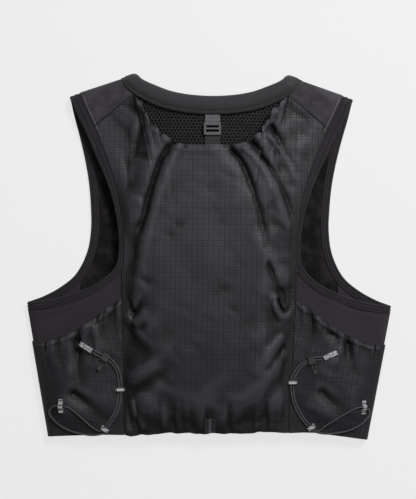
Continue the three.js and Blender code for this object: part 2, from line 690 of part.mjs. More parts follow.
// Front panels: flat cloth on the ground, from the centre opening to the front seam below
// the arm and along the armhole and the collar up to the yoke
const FRONT_SEAM_SHARE = 0.42;
const OPENING_SHARE = mix(FRONT_SEAM_SHARE, 1, 2 / 7);
function frontPanelSurface(sign) {
  const panel = sidePanelSurface(sign);
  const armhole = armholeLine(sign, 1, SEAM_GAP);
  const collar = collarLine(1, SEAM_GAP);
  const seam = (t) => {
    const place = panel(0, t);
    return { x: place.x - sign * SEAM_GAP, y: place.y };
  };
  const armholeEdge = (t) => {
    const place = armhole(mix(ARMHOLE_AT.frontSeam, ARMHOLE_AT.frontYoke, t));
    return { x: place.x - sign * SEAM_GAP * (1 - t), y: place.y - SEAM_GAP * t };
  };
  const collarEdge = (t) => {
    const place = collar(collarStation(sign, mix(COLLAR_AT.opening, COLLAR_AT.frontYoke, t)));
    return { x: place.x, y: place.y - SEAM_GAP * t };
  };
  const openingTop = collarEdge(0);
  const opening = (t) => {
    const x = mix((sign * FRONT_OPENING) / 2, openingTop.x, t);
    return { x, y: mix(hemY(x), openingTop.y, t) };
  };
  const outer = stretches([{ until: FRONT_SEAM_SHARE, at: seam }, { until: 1, at: armholeEdge }]);
  const inner = stretches([{ until: OPENING_SHARE, at: opening }, { until: 1, at: collarEdge }]);
  return (u, v) => {
    const [a, b] = [inner(v), outer(v)];
    return lifted(mix(a.x, b.x, u), mix(a.y, b.y, u), 0, FRONT_WALL);
  };
}
const FRONT_COLUMNS = divide([{ from: 0, to: 1, count: 4 }]);
const FRONT_ROWS = divide([
  { from: 0, to: FRONT_SEAM_SHARE, count: 4 },
  { from: FRONT_SEAM_SHARE, to: OPENING_SHARE, count: 2 },
  { from: OPENING_SHARE, to: 1, count: 5 },
]);

// Yokes: padded cloth over the shoulder, between the armhole's tape and the collar
function yokeSurface(sign) {
  const armhole = armholeLine(sign, 1, SEAM_GAP);
  const collar = collarLine(1, ROLL_GAP);
  const tapeStation = (u) => (u < 0.5
    ? mix(ARMHOLE_AT.frontYoke, ARMHOLE_AT.shoulder, u * 2)
    : mix(ARMHOLE_AT.shoulder, ARMHOLE_AT.shoulder + ARMHOLE_AT.backYoke, u * 2 - 1));
  const neckStation = (u) => mix(COLLAR_AT.frontYoke, COLLAR_AT.backYoke, u);
  return (u, v) => {
    const a = armhole(tapeStation(u));
    const b = collar(collarStation(sign, neckStation(u)));
    return lifted(mix(a.x, b.x, v), mix(a.y, b.y, v), mix(a.lift, b.lift, v), YOKE_WALL);
  };
}
const YOKE_COLUMNS = divide([{ from: 0, to: 0.5, count: 4 }, { from: 0.5, to: 1, count: 5 }]);
const YOKE_ROWS = divide([{ from: 0, to: 1, count: 4 }]);

const POCKET_SIDE_COLUMNS = divide([
  { from: 0, to: 1 / 6, count: 3 },
  { from: 1 / 6, to: 1, count: 13 },
]);
const POCKET_SIDE_ROWS = divide([{ from: 0, to: 1, count: 9 }]);
const TAPE_STATIONS = divide(ARMHOLE_SPANS).slice(0, -1);

for (const side of SIDES) {
  const panel = cloth(sidePanelSurface(side.sign), SIDE_COLUMNS, SIDE_ROWS, SIDE_WALL);
  addPiece(`side_panel_${side.name}`, panel, KNIT);
  const pocket = cloth(
    sidePocketSurface(side), POCKET_SIDE_COLUMNS, POCKET_SIDE_ROWS, POCKET_WALL);
  addPiece(`side_pocket_${side.name}`, pocket, RIPSTOP);
  const front = cloth(frontPanelSurface(side.sign), FRONT_COLUMNS, FRONT_ROWS, FRONT_WALL);
  addPiece(`front_panel_${side.name}`, front, KNIT);
  const yoke = cloth(yokeSurface(side.sign), YOKE_COLUMNS, YOKE_ROWS, YOKE_WALL);
  addPiece(`yoke_${side.name}`, yoke, SHOULDER_CLOTH);
  const tape = band(
    armholeLine(side.sign, 0, 0), armholeLine(side.sign, 1, 0),
    TAPE_STATIONS, TAPE_SECTION, BINDING_THICK, true);
  addPiece(`armhole_binding_${side.name}`, tape, TAPE);
}

// Straps that close the front, plain pieces across the opening. up is a share of its height.
const CLASPS = [
  { name: 'front_clasp_lower', up: 0.42 },
  { name: 'front_clasp_upper', up: 0.86 },
];
for (const clasp of CLASPS) {
  const edge = frontPanelSurface(1)(0, clasp.up * OPENING_SHARE);
  const length = 2 * (edge.x - SEAM_GAP);
  const strap = addPiece(
    clasp.name, new THREE.BoxGeometry(length, CLASP_WIDTH, CLASP_THICK), WEBBING);
  strap.position.set(0, edge.y, CLASP_THICK / 2);
}

// Hanger: webbing from the collar to a ladder buckle, and on from there into the pocket.
// It lies on the mesh panel.
const HANGER_OUT = 0.008;
const HANGER_TAIL = 24;
const hangerX = HANGER_OUT * HALF_WIDTH;
const hangerTop = collarLine(1, SEAM_GAP)(COLLAR_AT.middle).y;
const HANGER_DROP = 16.7;
const buckleY = hangerTop - HANGER_DROP;

function onBack(x, y, thick) {
  const point = lifted(x, y, 1, thick);
  point.z += BACK_WALL + SEAM_GAP;
  return point;
}

function backStrap(fromY, toY) {
  const surface = (u, v) => onBack(
    hangerX + (u - 0.5) * HANGER_WIDTH, mix(fromY, toY, v), WEBBING_THICK);
  const columns = divide([{ from: 0, to: 1, count: 2 }]);
  const rows = divide([{ from: 0, to: 1, count: 3 }]);
  return cloth(surface, columns, rows, WEBBING_THICK);
}
const buckleReach = BUCKLE_LENGTH / 2 + SEAM_GAP;
addPiece('hanger_strap_upper', backStrap(buckleY + buckleReach, hangerTop), WEBBING);
addPiece(
  'hanger_strap_lower', backStrap(buckleY - buckleReach - HANGER_TAIL, buckleY - buckleReach),
  WEBBING);

// A rectangle with rounded corners as a shape or a hole
function rounded(Outline, width, height, radius, centreY) {
  const outline = new Outline();
  const [w, h] = [width / 2 - radius, height / 2 - radius];
  outline.absarc(w, centreY + h, radius, 0, Math.PI / 2);
  outline.absarc(-w, centreY + h, radius, Math.PI / 2, Math.PI);
  outline.absarc(-w, centreY - h, radius, Math.PI, 1.5 * Math.PI);
  outline.absarc(w, centreY - h, radius, 1.5 * Math.PI, 2 * Math.PI);
  return outline;
}

function extruded(shape, depth) {
  return new THREE.ExtrudeGeometry(shape, { depth, bevelEnabled: false, curveSegments: 2 });
}

// Two slots leave three bars, which the webbing winds round
const buckleShape = rounded(THREE.Shape, BUCKLE_WIDTH, BUCKLE_LENGTH, BUCKLE_RADIUS, 0);
for (const sign of [-1, 1]) {
  const slotY = (sign * BUCKLE_LENGTH) / 6;
  buckleShape.holes.push(rounded(THREE.Path, SLOT_WIDTH, SLOT_LENGTH, SLOT_RADIUS, slotY));
}
const buckle = addPiece('hanger_buckle', extruded(buckleShape, BUCKLE_THICK), PLASTIC);
const buckleHigh = onBack(hangerX, buckleY + BUCKLE_LENGTH / 2, 0);
const buckleLow = onBack(hangerX, buckleY - BUCKLE_LENGTH / 2, 0);
buckle.position.copy(buckleHigh).lerp(buckleLow, 0.5);
buckle.rotation.x = Math.atan2(buckleHigh.z - buckleLow.z, buckleHigh.y - buckleLow.y);

// Loop of tape at the middle of the hem, sewn flat on the pocket
const HEM_LOOP_OUT = 0.012;
const LOOP_THICK = 1.4;
function hemLoopSurface(u, v) {
  const x = HEM_LOOP_OUT * HALF_WIDTH + (u - 0.5) * HEM_LOOP_WIDTH;
  const pocketU = (x - backHem(0).x) / (backHem(1).x - backHem(0).x);
  const firstRow = BACK_ROWS[1];
  const hem = backPocketSurface(pocketU, 0);
  const above = backPocketSurface(pocketU, firstRow).sub(hem);
  const share = (v * HEM_LOOP_LENGTH) / above.length();
  const offset = POCKET_WALL / 2 + 2 * SEAM_GAP + LOOP_THICK / 2;
  const normal = new THREE.Vector3(0, -above.z, above.y).normalize();
  return hem.addScaledVector(above, share).addScaledVector(normal, offset);
}
const loopColumns = divide([{ from: 0, to: 1, count: 2 }]);
const loopRows = divide([{ from: 0, to: 1, count: 4 }]);
addPiece('hem_loop', cloth(hemLoopSurface, loopColumns, loopRows, LOOP_THICK), TAPE);

// The outer face of a side pocket at a place given in shares, and its normal there
const POCKET_SPAN = (HEM_CORNER_OUT - HEM_SEAM_OUT.left) * HALF_WIDTH;
const POCKET_REACH = 0.28 * VEST_LENGTH;
function onSidePocket(side, out, up) {
  const surface = sidePocketSurface(side);
  let [u, v] = [0.5, 0.5];
  for (let i = 0; i < 30; i += 1) {
    const point = surface(u, v);
    u += side.sign * (point.x - side.sign * out * HALF_WIDTH) / POCKET_SPAN;
    v += (placeUp(up) - point.y) / POCKET_REACH;
    u = THREE.MathUtils.clamp(u, 0, 1);
    v = THREE.MathUtils.clamp(v, 0, 1);
  }
  const normal = normalOf(surface, u, v).multiplyScalar(-side.sign);
  return { point: surface(u, v).addScaledVector(normal, POCKET_WALL / 2), normal };
}

// Puts a piece that is drawn in its own X and Y, with its depth along Z, on a side pocket:
// X runs at the angle turn over the cloth and Y stands up from it
function seat(mesh, side, { out, up, turn }, gap) {
  const { point, normal } = onSidePocket(side, out, up);
  const angle = THREE.MathUtils.degToRad(turn);
  const along = new THREE.Vector3(Math.cos(angle), Math.sin(angle), 0);
  along.addScaledVector(normal, -along.dot(normal)).normalize();
  const depth = along.clone().cross(normal);
  mesh.quaternion.setFromRotationMatrix(new THREE.Matrix4().makeBasis(along, normal, depth));
  mesh.position.copy(point).addScaledVector(normal, gap);
}

// A tape sewn down at both ends that arches over the cord
const ARCH_HEIGHT = CORD_DIAMETER + 2 * CORD_CLEARANCE;
function archHalf(strands) {
  return ((strands - 1) * STRAND_SPACING + CORD_DIAMETER) / 2 + 2 * CORD_CLEARANCE;
}
function tapeArch(length, width, strands) {
  const half = archHalf(strands);
  const foot = Math.max(length / 2, half + 2 * TAPE_THICK);
  const shape = new THREE.Shape([
    new THREE.Vector2(-foot, 0),
    new THREE.Vector2(-half, 0),
    new THREE.Vector2(-half, ARCH_HEIGHT),
    new THREE.Vector2(half, ARCH_HEIGHT),
    new THREE.Vector2(half, 0),
    new THREE.Vector2(foot, 0),
    new THREE.Vector2(foot, TAPE_THICK),
    new THREE.Vector2(half + 1.5 * TAPE_THICK, TAPE_THICK),
    new THREE.Vector2(half + TAPE_THICK / 2, ARCH_HEIGHT + TAPE_THICK),
    new THREE.Vector2(-half - TAPE_THICK / 2, ARCH_HEIGHT + TAPE_THICK),
    new THREE.Vector2(-half - 1.5 * TAPE_THICK, TAPE_THICK),
    new THREE.Vector2(-foot, TAPE_THICK),
  ]);
  return extruded(shape, width).translate(0, 0, -width / 2);
}

// Tapes over the cord, by side: place on the pocket in shares, angle of the tape, its
// length and width, the strands under it, and its rise over the cloth in clearances
const CORD_TAPES = {
  left: [
    { name: 'side_tab', out: 0.802, up: 0.0855, turn: 92, length: 16, width: 5.3, strands: 1, rise: 1 },
    { name: 'seam_tab', out: 0.482, up: 0.133, turn: 2, length: 8, width: 4, strands: 2, rise: 2.2 },
    { name: 'hem_tab', out: 0.562, up: 0.0228, turn: 142, length: 9, width: 4.6, strands: 2, rise: 1 },
  ],
  right: [
    { name: 'side_tab', out: 0.847, up: 0.09, turn: 90, length: 16, width: 5.3, strands: 1, rise: 1 },
    { name: 'seam_tab', out: 0.46, up: 0.157, turn: 2, length: 8, width: 4, strands: 2, rise: 2.2 },
    { name: 'hem_tab', out: 0.564, up: 0.034, turn: 41, length: 9, width: 4.6, strands: 2, rise: 1 },
  ],
};
const CORD_HOOKS = {
  left: { out: 0.566, up: 0.22, turn: 62 },
  right: { out: 0.566, up: 0.2185, turn: 106 },
};
const PULL_TABS = {
  left: { out: 0.668, up: 0.247, turn: -31 },
  right: { out: 0.663, up: 0.232, turn: 205 },
};
const TAPE_GAP = 0.5;

// A solid for joining and cutting, and its geometry again
const wasm = await Module();
wasm.setup();
function solid(geometry) {
  const plain = geometry.clone();
  plain.deleteAttribute('normal');
  plain.deleteAttribute('uv');
  const merged = mergeVertices(plain);
  return new wasm.Manifold(new wasm.Mesh({
    numProp: 3,
    vertProperties: new Float32Array(merged.attributes.position.array),
    triVerts: new Uint32Array(merged.index.array),
  }));
}
function geometryOf(body) {
  const { vertProperties, triVerts } = body.getMesh();
  const geometry = new THREE.BufferGeometry();
  geometry.setAttribute('position', new THREE.Float32BufferAttribute(vertProperties, 3));
  geometry.setIndex(new THREE.Uint32BufferAttribute(triVerts, 1));
  geometry.computeVertexNormals();
  return geometry;
}

// Cord hook: a plastic bridge over both strands, joined to a flat tail with a long eye
function hookGeometry() {
  const half = archHalf(2);
  const outer = half + HOOK_WALL;
  const top = ARCH_HEIGHT + HOOK_WALL;
  const bridge = new THREE.Shape([
    new THREE.Vector2(-outer, 0),
    new THREE.Vector2(-half, 0),
    new THREE.Vector2(-half, ARCH_HEIGHT),
    new THREE.Vector2(half, ARCH_HEIGHT),
    new THREE.Vector2(half, 0),
    new THREE.Vector2(outer, 0),
    new THREE.Vector2(outer, top - HOOK_WALL / 2),
    new THREE.Vector2(outer - HOOK_WALL / 2, top),
    new THREE.Vector2(-outer + HOOK_WALL / 2, top),
    new THREE.Vector2(-outer, top - HOOK_WALL / 2),
  ]);
  const body = extruded(bridge, HOOK_LENGTH).translate(0, 0, -HOOK_LENGTH / 2);
  const tailRadius = HOOK_TAIL_WIDTH / 2 - ROUNDING_REST;
  const eye = rounded(THREE.Shape, HOOK_TAIL_WIDTH, HOOK_TAIL_LENGTH, tailRadius, 0);
  eye.holes.push(rounded(
    THREE.Path, HOOK_EYE_WIDTH, HOOK_TAIL_LENGTH / 2, HOOK_EYE_WIDTH / 2 - ROUNDING_REST,
    -HOOK_TAIL_LENGTH / 6));
  const tail = extruded(eye, HOOK_WALL)
    .rotateX(Math.PI / 2)
    .rotateY(-Math.PI / 2)
    .translate((HOOK_WALL - HOOK_TAIL_LENGTH) / 2 - outer, HOOK_WALL, 0);
  return geometryOf(solid(body).add(solid(tail)));
}

for (const side of SIDES) {
  for (const row of CORD_TAPES[side.name]) {
    const tape = addPiece(
      `${row.name}_${side.name}`, tapeArch(row.length, row.width, row.strands), REFLECTIVE);
    seat(tape, side, row, row.rise * TAPE_GAP);
  }
  const hook = addPiece(`cord_hook_${side.name}`, hookGeometry(), PLASTIC);
  seat(hook, side, CORD_HOOKS[side.name], TAPE_GAP);
  const pull = addPiece(
    `pull_tab_${side.name}`,
    extruded(rounded(THREE.Shape, PULL_TAB_LENGTH, PULL_TAB_THICK, 1, 0), PULL_TAB_WIDTH)
      .translate(0, PULL_TAB_THICK / 2, -PULL_TAB_WIDTH / 2),
    REFLECTIVE);
  seat(pull, side, PULL_TABS[side.name], TAPE_GAP);
}

// Elastic cords. Each runs from its pull tab through the hook and the seam tape to the hem
// tape, loops out to the side tape and comes back beside itself. Chosen places of its middle
// line as it lies on the cloth, x, y and z in millimetres.
const CORD_ROUTES = {
  left: [
    [-134.5, -112, 23.4], [-128, -115.5, 23.1], [-121, -118, 21.8],
    [-113.5, -123, 20.7], [-107.5, -130.5, 20.1], [-103.5, -140, 19.7],
    [-102, -150.5, 19.4], [-102, -159, 19.3], [-103, -171, 19.1],
    [-106, -184, 18.7], [-112.5, -195.5, 18], [-119, -205, 17.5],
    [-121.5, -209, 17.3], [-132.5, -212, 16.8], [-146.5, -211, 16.4],
    [-164.5, -206, 16.5], [-179.5, -196, 16.3], [-186.5, -186, 14.8],
    [-181, -178.5, 18.1], [-173, -178, 20.6], [-164.5, -179.5, 21.1],
    [-154, -186.5, 21], [-143.5, -196, 18.9], [-132, -205, 17.6],
    [-124, -207, 17.4], [-121.5, -203, 17.6], [-115, -194, 18.2],
    [-109, -183, 19.1], [-106, -170.5, 19.4], [-105, -159, 19.6],
    [-105, -151, 19.7], [-106.5, -140.5, 20], [-110, -132, 20.4],
    [-115.5, -125.5, 21], [-122.5, -121, 22], [-129.5, -118.5, 23.3],
    [-136, -114.5, 23.3],
  ],
  right: [
    [133.5, -117.5, 22.8], [127.5, -117.5, 22.5], [121, -119, 21.9],
    [114.5, -122, 21.1], [107, -127, 20.3], [100.5, -135.5, 19.7],
    [97, -144.5, 19.8], [97, -155.5, 19.6], [99.5, -170, 19.1],
    [105, -182.5, 19.1], [112, -193, 18.5], [119, -200.5, 18],
    [123, -204, 17.5], [133, -207, 16.9], [147.5, -207, 16.6],
    [169.5, -202, 16.5], [184, -192.5, 15], [190, -184, 13],
    [187.5, -177.5, 14.8], [183, -176, 17.4], [175, -176.5, 20.1],
    [162.5, -183, 20.2], [148.5, -191.5, 19.2], [137, -199, 18],
    [130, -204.5, 17.4], [125, -202, 17.7], [121.5, -198.5, 18.2],
    [114.5, -191.5, 18.7], [107.5, -181, 19.3], [102, -169, 19.4],
    [100, -155.5, 19.4], [100, -145, 19.6], [103.5, -137, 19.9],
    [109, -129, 20.5], [116, -124.5, 21.4], [122, -122, 22],
    [127.5, -120.5, 22.6], [133.5, -120.5, 22.9],
  ],
};
function cordGeometry(route) {
  const path = new THREE.CatmullRomCurve3(route.map((place) => new THREE.Vector3(...place)));
  const section = new THREE.Shape();
  for (let i = 0; i < CORD_SIDES; i += 1) {
    const angle = (2 * Math.PI * i) / CORD_SIDES;
    const x = (Math.cos(angle) * CORD_DIAMETER) / 2;
    const y = (Math.sin(angle) * CORD_DIAMETER) / 2;
    if (i === 0) section.moveTo(x, y);
    else section.lineTo(x, y);
  }
  section.closePath();
  return new THREE.ExtrudeGeometry(section, { steps: CORD_STEPS, extrudePath: path });
}
for (const side of SIDES) {
  addPiece(`cord_${side.name}`, cordGeometry(CORD_ROUTES[side.name]), CORD);
}

export default vest;
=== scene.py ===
import math

import bpy
import numpy as np
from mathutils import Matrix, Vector


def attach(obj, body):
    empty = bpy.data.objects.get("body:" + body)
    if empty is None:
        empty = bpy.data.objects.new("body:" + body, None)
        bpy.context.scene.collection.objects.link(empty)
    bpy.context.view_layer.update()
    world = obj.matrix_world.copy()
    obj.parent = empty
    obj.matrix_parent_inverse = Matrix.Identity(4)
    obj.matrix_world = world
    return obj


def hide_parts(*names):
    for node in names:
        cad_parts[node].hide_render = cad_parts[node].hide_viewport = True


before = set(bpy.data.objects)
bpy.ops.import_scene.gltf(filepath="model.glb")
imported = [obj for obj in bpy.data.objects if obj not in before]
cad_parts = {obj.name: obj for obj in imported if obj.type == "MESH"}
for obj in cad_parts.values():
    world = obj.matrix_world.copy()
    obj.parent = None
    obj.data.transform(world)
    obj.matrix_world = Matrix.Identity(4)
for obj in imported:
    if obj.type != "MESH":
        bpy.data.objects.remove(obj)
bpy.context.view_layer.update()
render_scene = bpy.context.scene


# Camera. The vest lies flat and is seen from straight above; it leans about 0.6 degrees to the
# right in the picture, so the camera is turned by as much the other way.
VIEW_HEIGHT = 0.5867
CAMERA_UP = 2.5
SENSOR = 36.0
AIM = Vector((-0.002, 0.0074, 0.012))
LEAN = 0.0107
lens = bpy.data.cameras.new("view_from_above")
lens.sensor_width = SENSOR
lens.lens = SENSOR * CAMERA_UP / VIEW_HEIGHT
lens.dof.use_dof = False
camera = bpy.data.objects.new("view_from_above", lens)
camera.location = AIM + Vector((0, 0, CAMERA_UP))
camera.rotation_euler = (0, 0, LEAN)
render_scene.collection.objects.link(camera)
render_scene.camera = camera


# Elastic cords. Two-millimetre braided elastic, one loop on each side pocket: it leaves a
# reflective pull tab, runs through a plastic hook and under sewn tapes, and comes back.
CORD_THICK = 0.002
CORD_SIDES = 12
CORD_STEPS = 420
MILLIMETRE = 0.001
# places along X, Y and Z in millimetres, from where the cord leaves its pull tab
CORD_ROUTES = {
    "left": [
        [-134.5, -112, 23.4], [-128, -115.5, 23.1], [-121, -118, 21.8],
        [-113.5, -123, 20.7], [-107.5, -130.5, 20.1], [-103.5, -140, 19.7],
        [-102, -150.5, 19.4], [-102, -159, 19.3], [-103, -171, 19.1],
        [-106, -184, 18.7], [-112.5, -195.5, 18], [-119, -205, 17.5],
        [-121.5, -209, 17.3], [-132.5, -212, 16.8], [-146.5, -211, 16.4],
        [-164.5, -206, 16.5], [-179.5, -196, 16.3], [-186.5, -186, 14.8],
        [-181, -178.5, 18.1], [-173, -178, 20.6], [-164.5, -179.5, 21.1],
        [-154, -186.5, 21], [-143.5, -196, 18.9], [-132, -205, 17.6],
        [-124, -207, 17.4], [-121.5, -203, 17.6], [-115, -194, 18.2],
        [-109, -183, 19.1], [-106, -170.5, 19.4], [-105, -159, 19.6],
        [-105, -151, 19.7], [-106.5, -140.5, 20], [-110, -132, 20.4],
        [-115.5, -125.5, 21], [-122.5, -121, 22], [-129.5, -118.5, 23.3],
        [-136, -114.5, 23.3],
    ],
    "right": [
        [133.5, -117.5, 22.8], [127.5, -117.5, 22.5], [121, -119, 21.9],
        [114.5, -122, 21.1], [107, -127, 20.3], [100.5, -135.5, 19.7],
        [97, -144.5, 19.8], [97, -155.5, 19.6], [99.5, -170, 19.1],
        [105, -182.5, 19.1], [112, -193, 18.5], [119, -200.5, 18],
        [123, -204, 17.5], [133, -207, 16.9], [147.5, -207, 16.6],
        [169.5, -202, 16.5], [184, -192.5, 15], [190, -184, 13],
        [187.5, -177.5, 14.8], [183, -176, 17.4], [175, -176.5, 20.1],
        [162.5, -183, 20.2], [148.5, -191.5, 19.2], [137, -199, 18],
        [130, -204.5, 17.4], [125, -202, 17.7], [121.5, -198.5, 18.2],
        [114.5, -191.5, 18.7], [107.5, -181, 19.3], [102, -169, 19.4],
        [100, -155.5, 19.4], [100, -145, 19.6], [103.5, -137, 19.9],
        [109, -129, 20.5], [116, -124.5, 21.4], [122, -122, 22],
        [127.5, -120.5, 22.6], [133.5, -120.5, 22.9],
    ],
}


def mix(a, b, t):
    """The value that lies the share t of the way from a to b."""
    return a + (b - a) * t


def through(points, closed, where):
    """A centripetal Catmull-Rom curve: the cubic between two points takes its slopes from
    their neighbours, each weighed by the square root of its distance. where counts points."""
    points = np.asarray(points, float)
    count = len(points)
    where = np.asarray(where, float)
    if closed:
        where = np.mod(where, count)
        chain = points[np.arange(-1, count + 2) % count]
    else:
        ends = 2 * points[[0, -1]] - points[[1, -2]]
        chain = np.vstack([ends[:1], points, ends[1:]])
    first = np.clip(np.floor(where).astype(int), 0, count - (1 if closed else 2))
    w = (where - first)[..., None]
    p0, p1, p2, p3 = (chain[first + k] for k in range(4))
    d0, d1, d2 = (
        np.sqrt(np.linalg.norm(b - a, axis=-1, keepdims=True)) + 1e-9
        for a, b in ((p0, p1), (p1, p2), (p2, p3)))
    slope1 = ((p1 - p0) / d0 - (p2 - p0) / (d0 + d1) + (p2 - p1) / d1) * d1
    slope2 = ((p2 - p1) / d1 - (p3 - p1) / (d1 + d2) + (p3 - p2) / d2) * d1
    square = 3 * (p2 - p1) - 2 * slope1 - slope2
    cube = 2 * (p1 - p2) + slope1 + slope2
    return p1 + w * (slope1 + w * (square + w * cube))


def into_piece(name, points, faces, uv):
    """A mesh piece from points (n, 3), faces and one place in metres of cloth per point.
    Faces that point inwards, seen by the sign of the volume they enclose, are all turned."""
    corners = points[faces]
    middle = points.mean(axis=0)
    a, b, c, d = (corners[:, k] - middle for k in range(4))
    enclosed = (a * (np.cross(b, c) + np.cross(c, d))).sum()
    if enclosed < 0:
        faces = faces[:, ::-1]
    mesh = bpy.data.meshes.new(name)
    mesh.from_pydata(points.tolist(), [], faces.tolist())
    index = np.empty(len(mesh.loops), int)
    mesh.loops.foreach_get("vertex_index", index)
    mesh.uv_layers.new(name="cloth").data.foreach_set("uv", uv[index].ravel())
    mesh.polygons.foreach_set("use_smooth", np.ones(len(mesh.polygons), bool))
    mesh.set_sharp_from_angle(angle=math.radians(55))
    piece = bpy.data.objects.new(name, mesh)
    render_scene.collection.objects.link(piece)
    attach(piece, "root")
    return piece


def lengths(points):
    """Length of the path through points from its start up to each of them."""
    steps = np.linalg.norm(np.diff(points, axis=0), axis=-1)
    return np.concatenate([[0], np.cumsum(steps)])


def carried(name, rings, closed, across):
    """A section carried along a path: rings (n, m, 3) are joined one to the next, and an
    open one gets an end face of quads. The cloth's own directions are along and across."""
    count, sides = rings.shape[:2]
    i = np.arange(count if closed else count - 1)[:, None]
    j = np.arange(sides)[None, :]
    near, far = i * sides, ((i + 1) % count) * sides
    after = (j + 1) % sides
    faces = np.stack([near + j, near + after, far + after, far + j], axis=-1).reshape(-1, 4)
    if not closed:
        k = np.arange(sides // 2 - 1)
        cap = np.stack([k, sides - 1 - k, sides - 2 - k, k + 1], axis=-1)
        faces = np.vstack([faces, cap, cap[:, ::-1] + (count - 1) * sides])
    along = lengths(rings.mean(axis=1))
    uv = np.stack(np.broadcast_arrays(along[:, None], across[None, :]), axis=-1)
    return into_piece(name, rings.reshape(-1, 3), faces, uv.reshape(-1, 2))


def rod(name, path, thick, sides):
    """A round rod along a path that lies roughly level: circles of one size square to it."""
    ahead = np.gradient(path, axis=0)
    ahead /= np.linalg.norm(ahead, axis=1, keepdims=True)
    beside = np.cross([0, 0, 1.0], ahead)
    beside /= np.linalg.norm(beside, axis=1, keepdims=True)
    above = np.cross(ahead, beside)
    turn = np.linspace(0, 2 * np.pi, sides, endpoint=False)
    angle = turn[None, :, None]
    outward = np.cos(angle) * beside[:, None] + np.sin(angle) * above[:, None]
    return carried(name, path[:, None] + thick / 2 * outward, False, turn * thick / 2)


cords = {}
for side, route in CORD_ROUTES.items():
    route = np.array(route) * MILLIMETRE
    path = through(route, False, np.linspace(0, len(route) - 1, CORD_STEPS))
    cord = rod(f"elastic_cord_{side}", path, CORD_THICK, CORD_SIDES)
    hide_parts(f"cord_{side}")
    cords[side] = cord


# Floor and light. A plain pale table that glows a little, as a lit studio table does, under
# a soft light from the upper right and a large weak one overhead.
class Signal:
    """A number or colour in a finish; sums, products and powers of numbers add Math nodes."""

    def __init__(self, finish, socket):
        self.finish = finish
        self.socket = socket

    def math(self, operation, *others):
        return self.finish.node("ShaderNodeMath", {"operation": operation}, dict(enumerate((self, *others))))

    def __add__(self, other):
        return self.math("ADD", other)

    def __sub__(self, other):
        return self.math("SUBTRACT", other)

    def __rsub__(self, other):
        return self.finish.node("ShaderNodeMath", {"operation": "SUBTRACT"}, {0: other, 1: self})

    def __mul__(self, other):
        return self.math("MULTIPLY", other)

    def __pow__(self, other):
        return self.math("POWER", other)

    __radd__ = __add__
    __rmul__ = __mul__

    def rising(self, low, high):
        """0 below low, 1 above high and a smooth rise between, or a fall if low is higher."""
        settings = {"interpolation_type": "SMOOTHSTEP"}
        up = low < high
        ends = {1: low, 2: high, 3: 0.0, 4: 1.0} if up else {1: high, 2: low, 3: 1.0, 4: 0.0}
        return self.finish.node("ShaderNodeMapRange", settings, {0: self, **ends})

    def near_lines(self, pitch, half_width):
        """1 on evenly spaced lines and 0 between: the distance to the nearest line falls off."""
        return self.math("PINGPONG", pitch / 2).rising(half_width, half_width * 0.4)


class Finish:
    """The material of one kind of cloth or plastic, with its shader and node tree."""

    def __init__(self, name, **sockets):
        self.material = bpy.data.materials.new(name)
        self.material.use_nodes = True
        self.tree = self.material.node_tree
        self.shader = self.tree.nodes["Principled BSDF"]
        for key, value in sockets.items():
            self.shader.inputs[key.replace("_", " ")].default_value = value

    def node(self, kind, settings=(), inputs=(), out=0):
        """Adds a node: its settings first, then each input as a plain value or a link."""
        made = self.tree.nodes.new(kind)
        for key, value in dict(settings).items():
            setattr(made, key, value)
        for key, value in dict(inputs).items():
            if isinstance(value, Signal):
                self.tree.links.new(value.socket, made.inputs[key])
            else:
                made.inputs[key].default_value = value
        return Signal(self, made.outputs[out])

    def place(self, kind):
        """Object places, or UV: metres along and across the cloth itself."""
        return self.node("ShaderNodeTexCoord", out=kind)

    def parts(self, kind):
        """The single numbers of a place."""
        split = self.node("ShaderNodeSeparateXYZ", inputs={0: self.place(kind)})
        return [Signal(self, output) for output in split.socket.node.outputs]

    def stored(self, name):
        """A number that the mesh keeps for each of its points."""
        return self.node("ShaderNodeAttribute", {"attribute_name": name}, out="Fac")

    def cloudy(self, kind, size, detail=3.0, stretch=(1, 1, 1)):
        """Noise between 0 and 1 whose patches are about `size` metres wide."""
        factors = tuple(share / size for share in stretch)
        scaled = self.node(
            "ShaderNodeVectorMath", {"operation": "MULTIPLY"}, {0: self.place(kind), 1: factors})
        return self.node("ShaderNodeTexNoise", inputs={"Vector": scaled, "Scale": 1.0, "Detail": detail})

    def put(self, socket, signal):
        self.tree.links.new(signal.socket, self.shader.inputs[socket])

    def paint(self, colour, *layers):
        """The base colour: each layer covers what lies under it by its share from 0 to 1."""
        for share, over in layers:
            colour = self.node("ShaderNodeMix", {"data_type": "RGBA"}, {0: share, 6: colour, 7: over}, out=2)
        self.put("Base Color", colour)

    def relief(self, height, depth):
        """Bump from a height of 0 to 1 that stands for `depth` metres."""
        self.put("Normal", self.node(
            "ShaderNodeBump", inputs={"Strength": 1.0, "Distance": depth, "Height": height}))

    def onto(self, piece, node=None):
        """Covers a piece; for one of the scene's own it also hides the node it replaces."""
        piece.data.materials.clear()
        piece.data.materials.append(self.material)
        if node:
            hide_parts(node)


def shade(red, green, blue):
    """A screen colour from 0 to 255 as linear light, with an alpha of 1."""
    values = np.array([red, green, blue]) / 255
    linear = np.where(values <= 0.04045, values / 12.92, ((values + 0.055) / 1.055) ** 2.4)
    return (*linear, 1.0)


